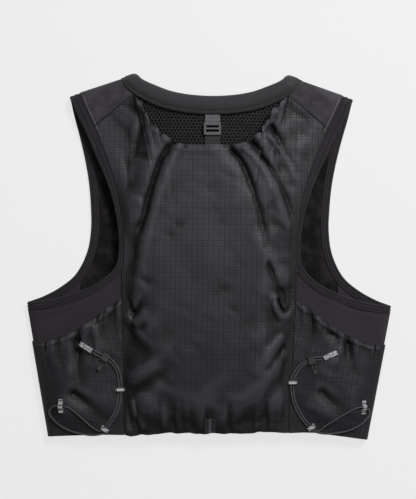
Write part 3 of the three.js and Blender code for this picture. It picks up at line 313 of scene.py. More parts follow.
FLOOR_REACH = 3.0
FLOOR_DOWN = 0.0002
AMBIENT = 0.15
table = Finish("pale_table", Roughness=0.9, Specular_IOR_Level=0.1, Emission_Strength=0.73)
table.shader.inputs["Emission Color"].default_value = (1, 1, 1, 1)
grain = table.cloudy("Object", 0.4, 2.0)
table.paint((0.12, 0.12, 0.122, 1), (grain, (0.13, 0.13, 0.132, 1)))
corners = FLOOR_REACH * np.array([[-1, -1, 0], [1, -1, 0], [1, 1, 0], [-1, 1, 0]])
floor_mesh = bpy.data.meshes.new("table_top")
floor_mesh.from_pydata((corners - [0, 0, FLOOR_DOWN]).tolist(), [], [[0, 1, 2, 3]])
floor = bpy.data.objects.new("table_top", floor_mesh)
render_scene.collection.objects.link(floor)
table.onto(floor)

LIGHTS = [
    # name, place, side length, power
    ("window_softbox", (0.7, 0.9, 1.25), 0.5, 25.0),
    ("overhead_softbox", (0.0, 0.2, 2.9), 1.8, 10.0),
]
for light_name, place, size, power in LIGHTS:
    lamp = bpy.data.lights.new(light_name, "AREA")
    lamp.size = size
    lamp.energy = power
    holder = bpy.data.objects.new(light_name, lamp)
    holder.location = place
    holder.rotation_euler = (-Vector(place)).to_track_quat("-Z", "Y").to_euler()
    render_scene.collection.objects.link(holder)
world = bpy.data.worlds.new("pale_room")
world.use_nodes = True
background = world.node_tree.nodes["Background"]
background.inputs["Color"].default_value = (1, 1, 1, 1)
background.inputs["Strength"].default_value = AMBIENT
render_scene.world = world
render_scene.view_settings.view_transform = "Standard"


# Armhole bindings. A folded tape runs right round each armhole, from the shoulder down the
# back, under the arm and up the front, and is held by two rows of stitches.
HALF_WIDTH = 0.215
LENGTH = 0.429
BODY_GAP = 0.014
EDGE_GAP = 0.005
FRONT_WALL = 0.002
SEAM_GAP = 0.0004
TUCK = -0.0012
TAPE_WIDTH = 0.0094
TAPE_THICK = 0.0036
# out, up, direction to the sewn edge in degrees, share of the width, lift of the layer
ARMHOLE = np.array([
    [0.775, 0.929, 159, 1.6, 0.5], [0.762, 0.915, 156, 1.58, 0.97],
    [0.724, 0.874, 151, 1.53, 1], [0.687, 0.837, 153, 1.51, 1],
    [0.628, 0.77, 154, 1.47, 1], [0.563, 0.695, 159, 1.15, 1],
    [0.524, 0.632, 166, 0.9, 1], [0.501, 0.569, 173, 0.69, 1],
    [0.496, 0.516, 198, 0.79, 1], [0.511, 0.472, 211, 0.96, 1],
    [0.587, 0.431, 236, 0.91, 1], [0.701, 0.401, 246, 0.96, 1],
    [0.816, 0.382, 259, 1.02, 1], [0.914, 0.372, 264, 1.01, 1],
    [0.966, 0.369, 266, 1, 0.97], [0.992, 0.368, 266, 1, 0.5],
    [0.966, 0.373, 264, 1, 0.03], [0.914, 0.383, 251, 0.99, 0],
    [0.816, 0.41, 236, 1.02, 0], [0.733, 0.446, 220, 1, 0],
    [0.672, 0.508, 202, 0.99, 0], [0.653, 0.568, 180, 0.97, 0],
    [0.655, 0.631, 173, 0.97, 0], [0.666, 0.694, 165, 0.99, 0],
    [0.688, 0.757, 165, 0.99, 0], [0.718, 0.82, 162, 1.02, 0],
    [0.75, 0.878, 159, 1.2, 0], [0.769, 0.918, 159, 1.5, 0.03],
])
SHOULDER, BACK_YOKE, BACK_SEAM, TIP, FRONT_SEAM, FRONT_YOKE = 28, 3, 9, 15, 19, 26


def ease(start, end, value):
    """0 at start, 1 at end and a smooth rise between them: 3 t squared less 2 t cubed."""
    t = np.clip((value - start) / (end - start), 0, 1)
    return t * t * (3 - 2 * t)


def place_up(up):
    """Distance along Y from the middle, for a share of the length."""
    return (up - 0.5) * LENGTH


def back_floor(x, y):
    """Height of the back layer's underside: a crown, one less the square of the share of the
    half width, that sinks towards the shoulders and the hem."""
    across = np.minimum(1, np.abs(x) / HALF_WIDTH)
    up = y / LENGTH + 0.5
    crown = (1 - across**2) * mix(1, 0.35, ease(0.55, 1, up)) * mix(0.8, 1, ease(0, 0.2, up))
    return FRONT_WALL + mix(EDGE_GAP, BODY_GAP, crown)


def lifted(x, y, lift, thick):
    """Places of a layer's middle surface, from the front layer (0) to the back layer (1)."""
    x, y, lift = np.broadcast_arrays(x, y, lift)
    return np.stack([x, y, np.clip(lift, 0, 1) * back_floor(x, y) + thick / 2], axis=-1)


def edge_line(rows, signs, width, closed, share, gap):
    """The line that lies a share of the tape's width in from its free edge, at stations."""
    out, up, face, wide, lift = rows.T
    reach = share * wide * width + gap
    x = signs * (out * HALF_WIDTH + np.cos(np.radians(face)) * reach)
    y = place_up(up) + np.sin(np.radians(face)) * reach
    knots = np.stack([x, y, lift * BODY_GAP], axis=-1)

    def at(where):
        found = through(knots, closed, where)
        return found / [1, 1, BODY_GAP]

    return at


def armhole_line(sign, share, gap=0.0):
    return edge_line(ARMHOLE, sign, TAPE_WIDTH, True, share, gap)


def band(name, free, sewn, stations, section, thick, closed, width):
    """A tape between its two edges: each point of the section goes `along` from the free to the sewn edge
    and `deep` times the thickness out of the surface."""
    edges = [lifted(*np.moveaxis(line(stations), -1, 0), thick) for line in (free, sewn)]
    middle = (edges[0] + edges[1]) / 2
    if closed:
        ahead = np.roll(middle, -1, axis=0) - np.roll(middle, 1, axis=0)
    else:
        ahead = np.gradient(middle, axis=0)
    across = edges[1] - edges[0]
    normal = np.cross(ahead, across)
    normal /= np.linalg.norm(normal, axis=1, keepdims=True)
    along, deep = section.T
    rings = (edges[0][:, None] + across[:, None] * along[None, :, None]
             + normal[:, None] * (deep * thick)[None, :, None])
    return carried(name, rings, closed, along * width)


def both_faces(rows):
    rows = np.array(rows)
    return np.vstack([rows, rows[::-1] * [1, -1]])


STITCH_ROWS = (0.34, 0.74)
# along and deep: the fold of the tape, two sunk rows of stitches and the flat inner half
TAPE_SECTION = both_faces([
    [0, 0.16], [0.03, 0.33], [0.1, 0.45], [0.19, 0.5], [0.28, 0.43], [0.34, 0.26], [0.4, 0.43],
    [0.52, 0.5], [0.66, 0.44], [0.74, 0.28], [0.81, 0.41], [0.9, 0.44], [1, 0.3],
])


def evenly(line, start, end, count, closed=False):
    """Stations whose places lie at even distances along a line."""
    fine = np.linspace(start, end, 4000)
    far = lengths(line(fine)[:, :2])
    return np.interp(np.linspace(0, far[-1], count, endpoint=not closed), far, fine)


def stitched(across, width):
    """1 on the tape's two sunk rows of stitches and 0 beside them."""
    return sum((across - row * width).math("ABSOLUTE").rising(0.00055, 0.0002) for row in STITCH_ROWS)


tape_finish = Finish(
    "edge_tape", Specular_IOR_Level=0.25, Roughness=0.85, Sheen_Weight=0.06, Sheen_Roughness=0.5)
tape_along, tape_across, _ = tape_finish.parts("UV")
tape_ribs = tape_along.near_lines(0.0011, 0.00045)
tape_rows = stitched(tape_across, TAPE_WIDTH)
stitch = tape_rows * tape_along.near_lines(0.0026, 0.0011)
# painted shade: the two sunk rows of stitches are painted dark as shade in their grooves, with paler
# stitches of thread on them
tape_finish.paint(
    shade(34, 31, 35),
    (tape_finish.cloudy("Object", 0.02), shade(48, 44, 49)),
    (tape_ribs * 0.35, shade(20, 18, 20)),
    (tape_rows * 0.75, shade(12, 11, 12)),
    (stitch * 0.4, shade(54, 51, 56)))
tape_finish.relief(tape_ribs * 0.35 + stitch, 0.0003)

TAPE_STEPS = 420
for side, sign in (("left", -1), ("right", 1)):
    free, sewn = armhole_line(sign, 0), armhole_line(sign, 1)
    stations = evenly(free, 0, len(ARMHOLE), TAPE_STEPS, closed=True)
    binding = band(f"binding_{side}", free, sewn, stations, TAPE_SECTION, TAPE_THICK, True, TAPE_WIDTH)
    tape_finish.onto(binding, f"armhole_binding_{side}")


# Side panels. Smooth stretch knit from the front seam round the side to the back seam, so
# that the vest gives with the breath; its fine ribs run up the body.
SIDE_WALL = 0.002
POCKET_WALL = 0.0012
HEM_CORNER_OUT = 0.876
SEAM_FOOT = {-1: 0.455 * HALF_WIDTH, 1: 0.442 * HALF_WIDTH}
# out, up
HEM = np.array([
    [-0.876, 0], [-0.608, 0.007], [-0.441, 0.007], [-0.343, 0.011], [-0.195, 0.018],
    [-0.02, 0.016], [0.067, 0.018], [0.176, 0.017], [0.34, 0.024], [0.447, 0.017],
    [0.559, 0.02], [0.734, 0.009], [0.876, 0],
])


def hem_y(x):
    return place_up(np.interp(x / HALF_WIDTH, *HEM.T))


def side_panel(sign):
    """The knit's middle surface: u from the front to the back seam, v from hem to armhole.
    The hem follows the armhole's edge, drawn in to the width of the hem."""
    line = armhole_line(sign, 1, TUCK)
    seam_x, tip_x = (abs(line(station)[0]) for station in (BACK_SEAM, TIP))
    hem_corner = HEM_CORNER_OUT * HALF_WIDTH - (SIDE_WALL / 2 + SEAM_GAP + POCKET_WALL)

    def at(u, v):
        u, v = np.broadcast_arrays(u, v)
        edge = line(mix(FRONT_SEAM, BACK_SEAM, u))
        outward = (np.abs(edge[..., 0]) - seam_x) / (tip_x - seam_x)
        hem_x = sign * mix(SEAM_FOOT[sign], hem_corner, outward)
        x = mix(hem_x, edge[..., 0], v)
        y = mix(hem_y(hem_x), edge[..., 1], v)
        return lifted(x, y, edge[..., 2], SIDE_WALL)

    return at


def face_of(surface, u, v, step=0.004):
    """Unit normal of a surface: the cross product of its slopes along u and v."""
    along_u = surface(np.minimum(1, u + step), v) - surface(np.maximum(0, u - step), v)
    along_v = surface(u, np.minimum(1, v + step)) - surface(u, np.maximum(0, v - step))
    normal = np.cross(along_u, along_v)
    return normal / np.linalg.norm(normal, axis=-1, keepdims=True)


def cloth(name, middle, wall, threads=None, dents=0.0):
    """Cloth of an even wall: the grid `middle` is moved half a wall to either side along its
    normals and closed round its rim, and the upper face is lowered by its dents. Its own
    directions are metres along rows and columns, or the places of its threads if given."""
    rows, columns = middle.shape[:2]
    normal = np.cross(np.gradient(middle, axis=1), np.gradient(middle, axis=0))
    normal /= np.linalg.norm(normal, axis=-1, keepdims=True)
    upper, lower = middle + normal * wall / 2, middle - normal * wall / 2
    upper[..., 2] -= dents
    points = np.concatenate([upper, lower]).reshape(-1, 3)
    number = np.arange(rows * columns).reshape(rows, columns)
    a, b = number[:-1, :-1].ravel(), number[:-1, 1:].ravel()
    c, d = number[1:, 1:].ravel(), number[1:, :-1].ravel()
    below = rows * columns
    rim = np.concatenate([number[0], number[1:, -1], number[-1, -2::-1], number[-2:0:-1, 0]])
    ahead = np.roll(rim, -1)
    faces = np.vstack([
        np.stack([a, b, c, d], axis=1),
        np.stack([a, d, c, b], axis=1) + below,
        np.stack([ahead, rim, rim + below, ahead + below], axis=1),
    ])
    step_u = np.linalg.norm(np.diff(middle, axis=1), axis=-1)
    step_v = np.linalg.norm(np.diff(middle, axis=0), axis=-1)
    along_u = np.pad(np.cumsum(step_u, axis=1), ((0, 0), (1, 0)))
    along_u -= along_u[:, columns // 2][:, None]
    along_v = np.pad(np.cumsum(step_v, axis=0), ((1, 0), (0, 0)))
    uv = (np.stack([along_u, along_v], axis=-1) if threads is None else threads).reshape(-1, 2)
    return into_piece(name, points, faces, np.vstack([uv, uv]))


def flat_area(middle):
    """Area of a grid surface, from the cross products of its cells' sides."""
    along_u, along_v = middle[:-1, 1:] - middle[:-1, :-1], middle[1:, :-1] - middle[:-1, :-1]
    return float(np.linalg.norm(np.cross(along_u, along_v), axis=-1).sum())


def as_sheet(middle):
    """Works out the width, length and area of a cloth's surface, and keeps none of them."""
    width = float(max(lengths(row)[-1] for row in middle[:: max(1, len(middle) // 12)]))
    length = float(max(lengths(column)[-1] for column in middle.swapaxes(0, 1)[::8]))
    area = min(flat_area(middle), width * length)


def grid(rows, columns):
    """Parameters v down the rows and u along the columns, both from 0 to 1."""
    return np.linspace(0, 1, columns)[None, :], np.linspace(0, 1, rows)[:, None]


def bell(value, centre, width):
    """1 at the centre, falling off to both sides: exp of minus the squared share of the width."""
    return np.exp(-(((value - centre) / width) ** 2))


knit_finish = Finish("knit", Specular_IOR_Level=0.25, Roughness=0.9, Sheen_Weight=0.1, Sheen_Roughness=0.5)
knit_across, knit_up, _ = knit_finish.parts("UV")
knit_ribs = knit_across.near_lines(0.0013, 0.0006)
knit_rows = knit_up.near_lines(0.0009, 0.0004)
knit_finish.paint(
    shade(42, 37, 42),
    (knit_finish.cloudy("Object", 0.03), shade(57, 50, 57)),
    (knit_ribs * knit_rows * 0.5, shade(28, 24, 28)))
knit_finish.relief(knit_ribs * (1 - 0.4 * knit_rows), 0.0002)

RIPPLE_HEIGHT = 0.0005
RIPPLE_PITCH = 0.0085
TAPE_EDGE_BELOW = 0.0065
TAPE_EDGE_WIDTH = 0.0011
TAPE_EDGE_HEIGHT = 0.0008
for side, sign in (("left", -1), ("right", 1)):
    u, v = grid(90, 130)
    panel_at = side_panel(sign)
    middle = panel_at(u, v)
    # a slow ripple of the knit below its binding, strongest half way to the back seam
    ripple = np.sin(middle[..., 0] / RIPPLE_PITCH + 3 * v) * np.sin(np.pi * np.clip(u * 1.6 - 0.6, 0, 1))
    # the tape's turned-in edge shows through the knit as a thin ridge below it
    below = (1 - v) * np.linalg.norm(panel_at(u, 1.0) - panel_at(u, 0.0), axis=-1)
    ridge = TAPE_EDGE_HEIGHT * bell(below, TAPE_EDGE_BELOW, TAPE_EDGE_WIDTH) * ease(0.5, 0.6, u)
    swell = RIPPLE_HEIGHT * ripple * ease(0.2, 0.9, v) + ridge
    middle = middle + face_of(panel_at, u, v) * swell[..., None] * -sign
    knit = cloth(f"knit_side_{side}", middle, SIDE_WALL)
    knit_finish.onto(knit, f"side_panel_{side}")
    as_sheet(middle)


# Side pockets. Ripstop sewn over the outer half of each side panel, flat along the side and
# loose towards the back seam, with an elastic mouth that gathers it.
SIDE_POCKET_ROOM = 0.006
FOLD_WIDTH = 0.007
FOLD_HEIGHT = 0.005
# across, up
SIDE_MOUTH = np.array([[0, 0.75], [0.33, 0.735], [0.55, 0.77], [0.85, 0.845], [1, 0.83]])
# from out, up; bend out, up; to out, up; width and height in shares of a fold
SIDE_FOLDS = {
    -1: [
        [-0.715, 0.26, -0.71, 0.2, -0.7, 0.15, 0.8, -0.5],
        [-0.62, 0.3, -0.6, 0.25, -0.6, 0.2, 0.8, 0.4],
        [-0.73, 0.118, -0.64, 0.085, -0.52, 0.04, 1, -0.5],
        [-0.54, 0.33, -0.53, 0.28, -0.52, 0.22, 0.8, -0.5],
    ],
    1: [
        [0.55, 0.34, 0.56, 0.31, 0.565, 0.28, 0.8, -0.5],
        [0.67, 0.29, 0.69, 0.28, 0.7, 0.27, 0.8, -0.5],
        [0.76, 0.26, 0.77, 0.22, 0.8, 0.16, 0.9, -0.5],
        [0.62, 0.13, 0.68, 0.1, 0.76, 0.06, 1, -0.4],
    ],
}


def fold_height(folds, x, y, sharp=1.0):
    """Sum of rounded ridges and valleys. Each is a bell across a parabola through its three
    points, which fans out and sinks towards the last one: height times exp of minus the
    squared share of the width."""
    total = np.zeros(np.broadcast(x, y).shape)
    place = np.stack(np.broadcast_arrays(x, y), axis=-1)
    t = np.linspace(0, 1, 9)
    parabola = np.stack([2 * (t - 0.5) * (t - 1), 4 * t * (1 - t), 2 * t * (t - 0.5)], axis=1)
    for row in folds:
        knots = parabola @ np.array(row[:6]).reshape(3, 2)
        knots = np.stack([knots[:, 0] * HALF_WIDTH, place_up(knots[:, 1])], axis=-1)
        near, share = np.full(total.shape, np.inf), np.zeros(total.shape)
        for k in range(len(knots) - 1):
            along = knots[k + 1] - knots[k]
            part = np.clip(((place - knots[k]) @ along) / (along @ along), 0, 1)
            far = np.linalg.norm(place - knots[k] - part[..., None] * along, axis=-1)
            share = np.where(far < near, (k + part) / (len(knots) - 1), share)
            near = np.minimum(near, far)
        width = row[6] * FOLD_WIDTH * sharp * mix(1, 1.6, share)
        total += row[7] * FOLD_HEIGHT * mix(1, 0.25, share) * bell(near, 0, width)
    return total


# length of a patch in metres, lean in radians, share of the height
CRINKLES = [(0.03, 0.5, 0.5), (0.017, -0.7, 0.36), (0.0085, 1.1, 0.17)]


def crinkles(x, y, seed):
    """Slack of thin cloth, about -1 to 1: chance heights at the knots of three leaning nets,
    twice as long as wide, with a smooth rise from knot to knot."""
    chance = np.random.default_rng(seed)
    total = 0
    for patch, lean, share in CRINKLES:
        heights = chance.uniform(-1, 1, (128, 128))
        a = (x * np.cos(lean) + y * np.sin(lean)) / patch + 64
        b = (y * np.cos(lean) - x * np.sin(lean)) / (2 * patch) + 64
        i, j = a.astype(int), b.astype(int)
        s, t = ease(0, 1, a - i), ease(0, 1, b - j)
        low = mix(heights[i, j], heights[i + 1, j], s)
        high = mix(heights[i, j + 1], heights[i + 1, j + 1], s)
        total = total + share * mix(low, high, t)
    return total


def gathers(t, spread, seed):
    """Uneven round lobes with narrow creases between them, along an elastic edge, from -1 to
    1: the sizes of three sines whose pitches don't divide, less a half, twice."""
    turns = np.random.default_rng(seed).uniform(0, np.pi, 3)
    lobes = sum(
        share * np.abs(np.sin(np.pi * t * spread * pitch + turn))
        for share, pitch, turn in zip((0.6, 0.28, 0.12), (1, 1.57, 2.41), turns))
    return 2 * lobes - 1


def relief_of(middle, rounds=60):
    """Where cloth rises (to 1) and sinks (to 0) from its own mean height, 0.5 being level:
    the mean comes from averaging each place with its four neighbours again and again."""
    height = middle[..., 2]
    mean = height
    for _ in range(rounds):
        wide = np.pad(mean, 1, mode="edge")
        mean = (wide[:-2, 1:-1] + wide[2:, 1:-1] + wide[1:-1, :-2] + wide[1:-1, 2:]) / 4
    return np.clip(0.5 + (height - mean) / 0.0025, 0, 1)


def keep_on(piece, name, values):
    """Stores one number for each point of a cloth: one grid for both of its faces, or two."""
    both = np.resize(values, len(piece.data.vertices))
    piece.data.attributes.new(name, "FLOAT", "POINT").data.foreach_set("value", both)


SIDE_MOUTH_LOBES = 6.5
SIDE_MOUTH_HEIGHT = 0.0028
SIDE_WAVE_HEIGHT = 0.0008
SIDE_ROLL_HEIGHT = 0.0012
SIDE_SLACK = 0.0028
SIDE_CREASES = 1.3


def side_pocket(sign):
    """The pocket's middle surface over the panel's outer half, raised by its room, its folds
    and slack, the gathers below its mouth and the rolled edge."""
    panel_at = side_panel(sign)
    folds = SIDE_FOLDS[sign]
    tip = (FRONT_SEAM - TIP) / (FRONT_SEAM - BACK_SEAM)

    def at(u, v):
        u, v = np.broadcast_arrays(u, v)
        panel_u = mix(tip, 1 - SEAM_GAP / HALF_WIDTH, u)
        panel_v = v * np.interp(u, *SIDE_MOUTH.T)
        point = panel_at(panel_u, panel_v)
        x, y = point[..., 0], point[..., 1]
        outward = face_of(panel_at, panel_u, panel_v) * -sign
        loose = ease(0.14, 0.44, u) * ease(1.02, 0.62, u)
        spare = loose * (ease(0, 0.3, v) * SIDE_POCKET_ROOM + fold_height(folds, x, y))
        lobes = gathers(u + 0.03 * np.sin(9 * v), SIDE_MOUTH_LOBES, 3 - sign)
        lobes = lobes * ease(0.16, 0.3, u) * ease(1.0, 0.9, u)
        spare = np.maximum(0, spare) + SIDE_MOUTH_HEIGHT * lobes * ease(0.84, 1, v)
        spare = spare + SIDE_WAVE_HEIGHT * lobes * ease(0.45, 0.9, v)
        spare = spare + SIDE_ROLL_HEIGHT * bell(v, 0.965, 0.016) * ease(0.1, 0.2, u)
        spare = spare + SIDE_SLACK * crinkles(x, y, 20 + sign) * ease(0.05, 0.25, v) * ease(0.1, 0.3, u)
        spare = spare + SIDE_CREASES * fold_height(folds, x, y, 0.7) * loose
        rise = (SIDE_WALL + POCKET_WALL) / 2 + SEAM_GAP + np.maximum(0, spare)
        return point + outward * rise[..., None]

    return at

    return at


ripstop_finish = Finish("ripstop", Specular_IOR_Level=0.3, Sheen_Weight=0.05, Sheen_Roughness=0.4)
RIPSTOP_PITCH = 0.0063
rip_across, rip_up, _ = ripstop_finish.parts("UV")


def ripstop_net(pitch, half_width, rungs=1.0):
    """1 on the lines along and across the cloth, where the lines across are weaker."""
    lines = rip_across.near_lines(pitch, half_width)
    return lines.math("MAXIMUM", rip_up.near_lines(pitch, half_width) * rungs)


rip_grid = ripstop_net(RIPSTOP_PITCH, 0.0006, 0.8).math(
    "MAXIMUM", ripstop_net(RIPSTOP_PITCH / 2, 0.0004) * 0.45)
rip_patch = ripstop_finish.cloudy("Object", 0.05, 4.0)
rip_slub = ripstop_finish.cloudy("UV", 0.004, 2.0, stretch=(0.25, 4, 1))
rip_x, rip_y, _ = ripstop_finish.parts("Object")
# painted light: the cloth is painted paler towards the top and in the middle, and darker towards the hem and
# the sides, as the light from above falls on the pocket's dome
rip_lit_upwards = (rip_y + 0.03 * rip_patch).rising(-0.14, 0.06)
rip_lit_middle = 1 - ((rip_x + 0.012) * 10.5) ** 2
rip_painted_light = rip_lit_upwards * rip_lit_middle.math("MAXIMUM", rip_y.rising(0.02, 0.11))
rip_rise_for_shading = ripstop_finish.stored("relief")
ripstop_finish.paint(
    shade(14, 14, 17),
    (rip_painted_light, shade(47, 47, 51)),
    (rip_patch * 0.3, shade(50, 50, 55)),
    (rip_slub * 0.28, shade(62, 62, 68)),
    (rip_grid * 0.55, shade(16, 16, 19)),
    # painted highlight on the cloth's rises and painted shade in its creases and hollows, from how far each
    # place stands above or below its own mean height
    (rip_rise_for_shading.rising(0.52, 1.0) * 0.34, shade(78, 78, 84)),
    (rip_rise_for_shading.rising(0.48, 0.02) * 0.87, shade(8, 8, 9)))
ripstop_finish.put("Roughness", rip_grid * 0.15 + (0.48 + 0.12 * rip_patch))
ripstop_finish.relief(rip_slub * 0.4 - rip_grid * 0.5, 0.00035)

for side, sign in (("left", -1), ("right", 1)):
    middle = side_pocket(sign)(*grid(110, 130))
    pocket = cloth(f"side_pocket_cloth_{side}", middle, POCKET_WALL)
    keep_on(pocket, "relief", relief_of(middle))
    ripstop_finish.onto(pocket, f"side_pocket_{side}")
    as_sheet(middle)


# Collar. One padded roll of soft knit from the front opening round the neck and back, stuffed
# firm, with a sunk seam where it is sewn to the body.
COLLAR_WIDTH = 0.0215
COLLAR_THICK = 0.007
COLLAR = np.array([
    [0.056, 0.726, -86, 1, 0], [0.178, 0.757, -50, 1, 0], [0.278, 0.812, -36, 1, 0],
    [0.345, 0.878, -25, 1, 0], [0.385, 0.941, -16, 0.97, 0], [0.405, 0.978, -18, 0.93, 0.03],
    [0.407, 0.994, -20, 0.9, 0.5], [0.381, 0.983, -30, 0.97, 0.97], [0.345, 0.974, -40, 1.02, 1],
    [0.311, 0.967, -46, 1.04, 1], [0.224, 0.951, -61, 1.03, 1], [0.128, 0.942, -79, 1, 1],
    [0, 0.938, -90, 1, 1],
])
NECK_FRONT, NECK_YOKE, NECK_MIDDLE = 4, 8, 12
COLLAR_SECTION = both_faces([
    [0, 0.12], [0.03, 0.26], [0.09, 0.38], [0.2, 0.47], [0.38, 0.5], [0.56, 0.5],
    [0.7, 0.47], [0.79, 0.41], [0.84, 0.34], [0.87, 0.38], [0.93, 0.39], [1, 0.32],
])


def collar_line(share, gap=0.0):
    rows = np.vstack([COLLAR, COLLAR[-2::-1]])
    signs = np.where(np.arange(len(rows)) < len(COLLAR), 1, -1)
    return edge_line(rows, signs, COLLAR_WIDTH, False, share, gap)


def collar_station(sign, station):
    return station if sign > 0 else 2 * NECK_MIDDLE - station


padded_finish = Finish(
    "padded_knit", Specular_IOR_Level=0.4, Roughness=0.62, Sheen_Weight=0.16, Sheen_Roughness=0.5)
pad_along, pad_across, _ = padded_finish.parts("UV")
pad_ribs = (pad_along + pad_across).near_lines(0.0012, 0.0005)
pad_weave = pad_ribs * (pad_along - pad_across).near_lines(0.0012, 0.0005)
# painted shade: the sewn half of the roll darkens towards its seam, as shade on the roll's lower side and in
# the seam's groove
pad_seam_shade = pad_across.rising(0.35 * COLLAR_WIDTH, 0.95 * COLLAR_WIDTH)
padded_finish.paint(
    shade(38, 35, 39),
    (padded_finish.cloudy("Object", 0.03), shade(50, 47, 52)),
    (pad_weave * 0.6, shade(26, 24, 27)),
    (pad_seam_shade * 0.75, shade(12, 11, 12)))
padded_finish.relief(pad_weave, 0.0002)

COLLAR_STEPS = 260
neck_free, neck_sewn = collar_line(0), collar_line(1)
stations = evenly(neck_free, 0, 2 * NECK_MIDDLE, COLLAR_STEPS)
collar = band(
    "collar_roll", neck_free, neck_sewn, stations, COLLAR_SECTION, COLLAR_THICK, False, COLLAR_WIDTH)
padded_finish.onto(collar, "collar")


# Back panel. Spacer mesh against the wearer's back; it shows above the pocket's mouth, with
# its rows of small six-sided holes, and is plain and hidden below.
BACK_WALL = 0.0025
BACK_SEAM_SHARE = 0.54
YOKE_SEAM_SHARE = 0.16
# out, up
POCKET_MOUTH = np.array([
    [-0.384, 0.908], [-0.334, 0.859], [-0.251, 0.826], [-0.18, 0.806], [-0.086, 0.802],
    [0, 0.804], [0.094, 0.805], [0.187, 0.809], [0.257, 0.831], [0.311, 0.867], [0.352, 0.902],
])


def edges(ends, *parts):
    """One edge made of several: each part runs from 0 to 1 between its own two ends."""
    def at(t):
        t = np.asarray(t, float)
        places = [part(np.clip((t - a) / (b - a), 0, 1)) for part, a, b in zip(parts, ends, ends[1:])]
        found = places[0]
        for start, place in zip(ends[1:], places[1:]):
            found = np.where((t > start)[..., None], place, found)
        return found

    return at


def straight(start, end):
    return lambda t: mix(np.array(start), np.array(end), t[..., None])


def along_tape(line, sign, start, end):
    """Under the armhole's tape, a gap away from the side seam at 0 and from the yoke at 1."""
    return lambda t: line(mix(start, end, t))[..., :2] - SEAM_GAP * np.stack([sign * (1 - t), t], axis=-1)


def back_side(sign):
    """The back's side: up the seam with the side panel, then along the armhole."""
    line = armhole_line(sign, 1, TUCK)
    foot_x = sign * (SEAM_FOOT[sign] - SEAM_GAP)
    seam = straight([foot_x, hem_y(foot_x)], line(BACK_SEAM)[:2] - [sign * SEAM_GAP, 0])
    return edges((0, BACK_SEAM_SHARE, 1), seam, along_tape(line, sign, BACK_SEAM, BACK_YOKE))


def neck_corner(sign):
    return collar_line(1, SEAM_GAP)(collar_station(sign, NECK_YOKE))[:2] - [0, SEAM_GAP]


def back_top(middle_part):
    """The back's top: up the left yoke seam, along middle_part, and down the right one."""
    left, right = (straight(back_side(sign)(1), neck_corner(sign)) for sign in (-1, 1))
    ends = (0, YOKE_SEAM_SHARE, 1 - YOKE_SEAM_SHARE, 1)
    return edges(ends, left, middle_part, lambda t: right(1 - t))


def collar_part(t):
    """Under the collar, a gap lower at both ends."""
    place = collar_line(1, TUCK)(mix(2 * NECK_MIDDLE - NECK_YOKE, NECK_YOKE, t))
    end = np.maximum(0, 1 - np.minimum(t, 1 - t) * 10)
    return np.stack([place[..., 0], place[..., 1] - SEAM_GAP * end], axis=-1)


def mouth_part(t):
    scoop = np.stack([POCKET_MOUTH[:, 0] * HALF_WIDTH, place_up(POCKET_MOUTH[:, 1])], axis=-1)
    knots = np.vstack([neck_corner(-1), scoop, neck_corner(1)])
    fine = through(knots, False, np.linspace(0, len(knots) - 1, 2001))
    far = lengths(fine)
    return np.stack([np.interp(t * far[-1], far, fine[:, k]) for k in (0, 1)], axis=-1)


def back_hem(u):
    x = mix(SEAM_GAP - SEAM_FOOT[-1], SEAM_FOOT[1] - SEAM_GAP, u)
    return np.stack([x, hem_y(x)], axis=-1)


def between(bottom, top, left, right, u, v):
    """A place between four edges: the means of both pairs of edges, less the corners' mean."""
    u, v = np.broadcast_arrays(u, v)
    b, t, l, r = bottom(u), top(u), left(v), right(v)
    u, v = u[..., None], v[..., None]
    corners = mix(mix(bottom(0), bottom(1), u), mix(top(0), top(1), u), v)
    return mix(b, t, v) + mix(l, r, u) - corners


left_side, right_side = back_side(-1), back_side(1)
panel_top, mouth_top = back_top(collar_part), back_top(mouth_part)


def back_panel(u, v):
    place = between(back_hem, panel_top, left_side, right_side, u, v)
    return lifted(place[..., 0], place[..., 1], 1, BACK_WALL)


mesh_finish = Finish(
    "spacer_mesh", Specular_IOR_Level=0.25, Roughness=0.9, Sheen_Weight=0.1, Sheen_Roughness=0.5)
mesh_fuzz = mesh_finish.cloudy("Object", 0.0012, 2.0)
# painted shade: the holes are painted near black, as shade deep in them
mesh_finish.paint(
    shade(48, 45, 48), (mesh_fuzz, shade(78, 74, 78)), (mesh_finish.stored("hole"), shade(4, 4, 4)))
mesh_finish.relief(mesh_fuzz, 0.0002)
HOLE_PITCH = 0.00424
HOLE_DEPTH = 0.0016


def hole_share(x, y):
    """0 on the net and 1 in a hole: the distance to the nearest centre of a six-sided
    pattern, whose every second row is shifted by half a pitch."""
    row_step = HOLE_PITCH * math.sqrt(3) / 2
    best = np.full(np.broadcast(x, y).shape, np.inf)
    for shift in (0, 1):
        row = np.round((y / row_step - shift) / 2) * 2 + shift
        column = np.round(x / HOLE_PITCH - shift / 2) + shift / 2
        best = np.minimum(best, np.hypot(x - column * HOLE_PITCH, y - row * row_step))
    return ease(0.5 * HOLE_PITCH, 0.4 * HOLE_PITCH, best)


MESH_SHOWS_FROM = 0.845
MESH_SPLIT = 0.0008
middle = back_panel(np.linspace(0, 1, 24)[None, :], np.linspace(0, MESH_SHOWS_FROM, 40)[:, None])
hidden_mesh = cloth("mesh_panel_lower", middle, BACK_WALL)
as_sheet(middle)
middle = back_panel(
    np.linspace(0, 1, 430)[None, :], np.linspace(MESH_SHOWS_FROM + MESH_SPLIT, 1, 110)[:, None])
holes = hole_share(middle[..., 0], middle[..., 1])
shown_mesh = cloth("mesh_panel_upper", middle, BACK_WALL, dents=HOLE_DEPTH * holes)
keep_on(shown_mesh, "hole", np.stack([holes, 0 * holes]))
as_sheet(middle)
for piece in (hidden_mesh, shown_mesh):
    mesh_finish.onto(piece, "back_panel")


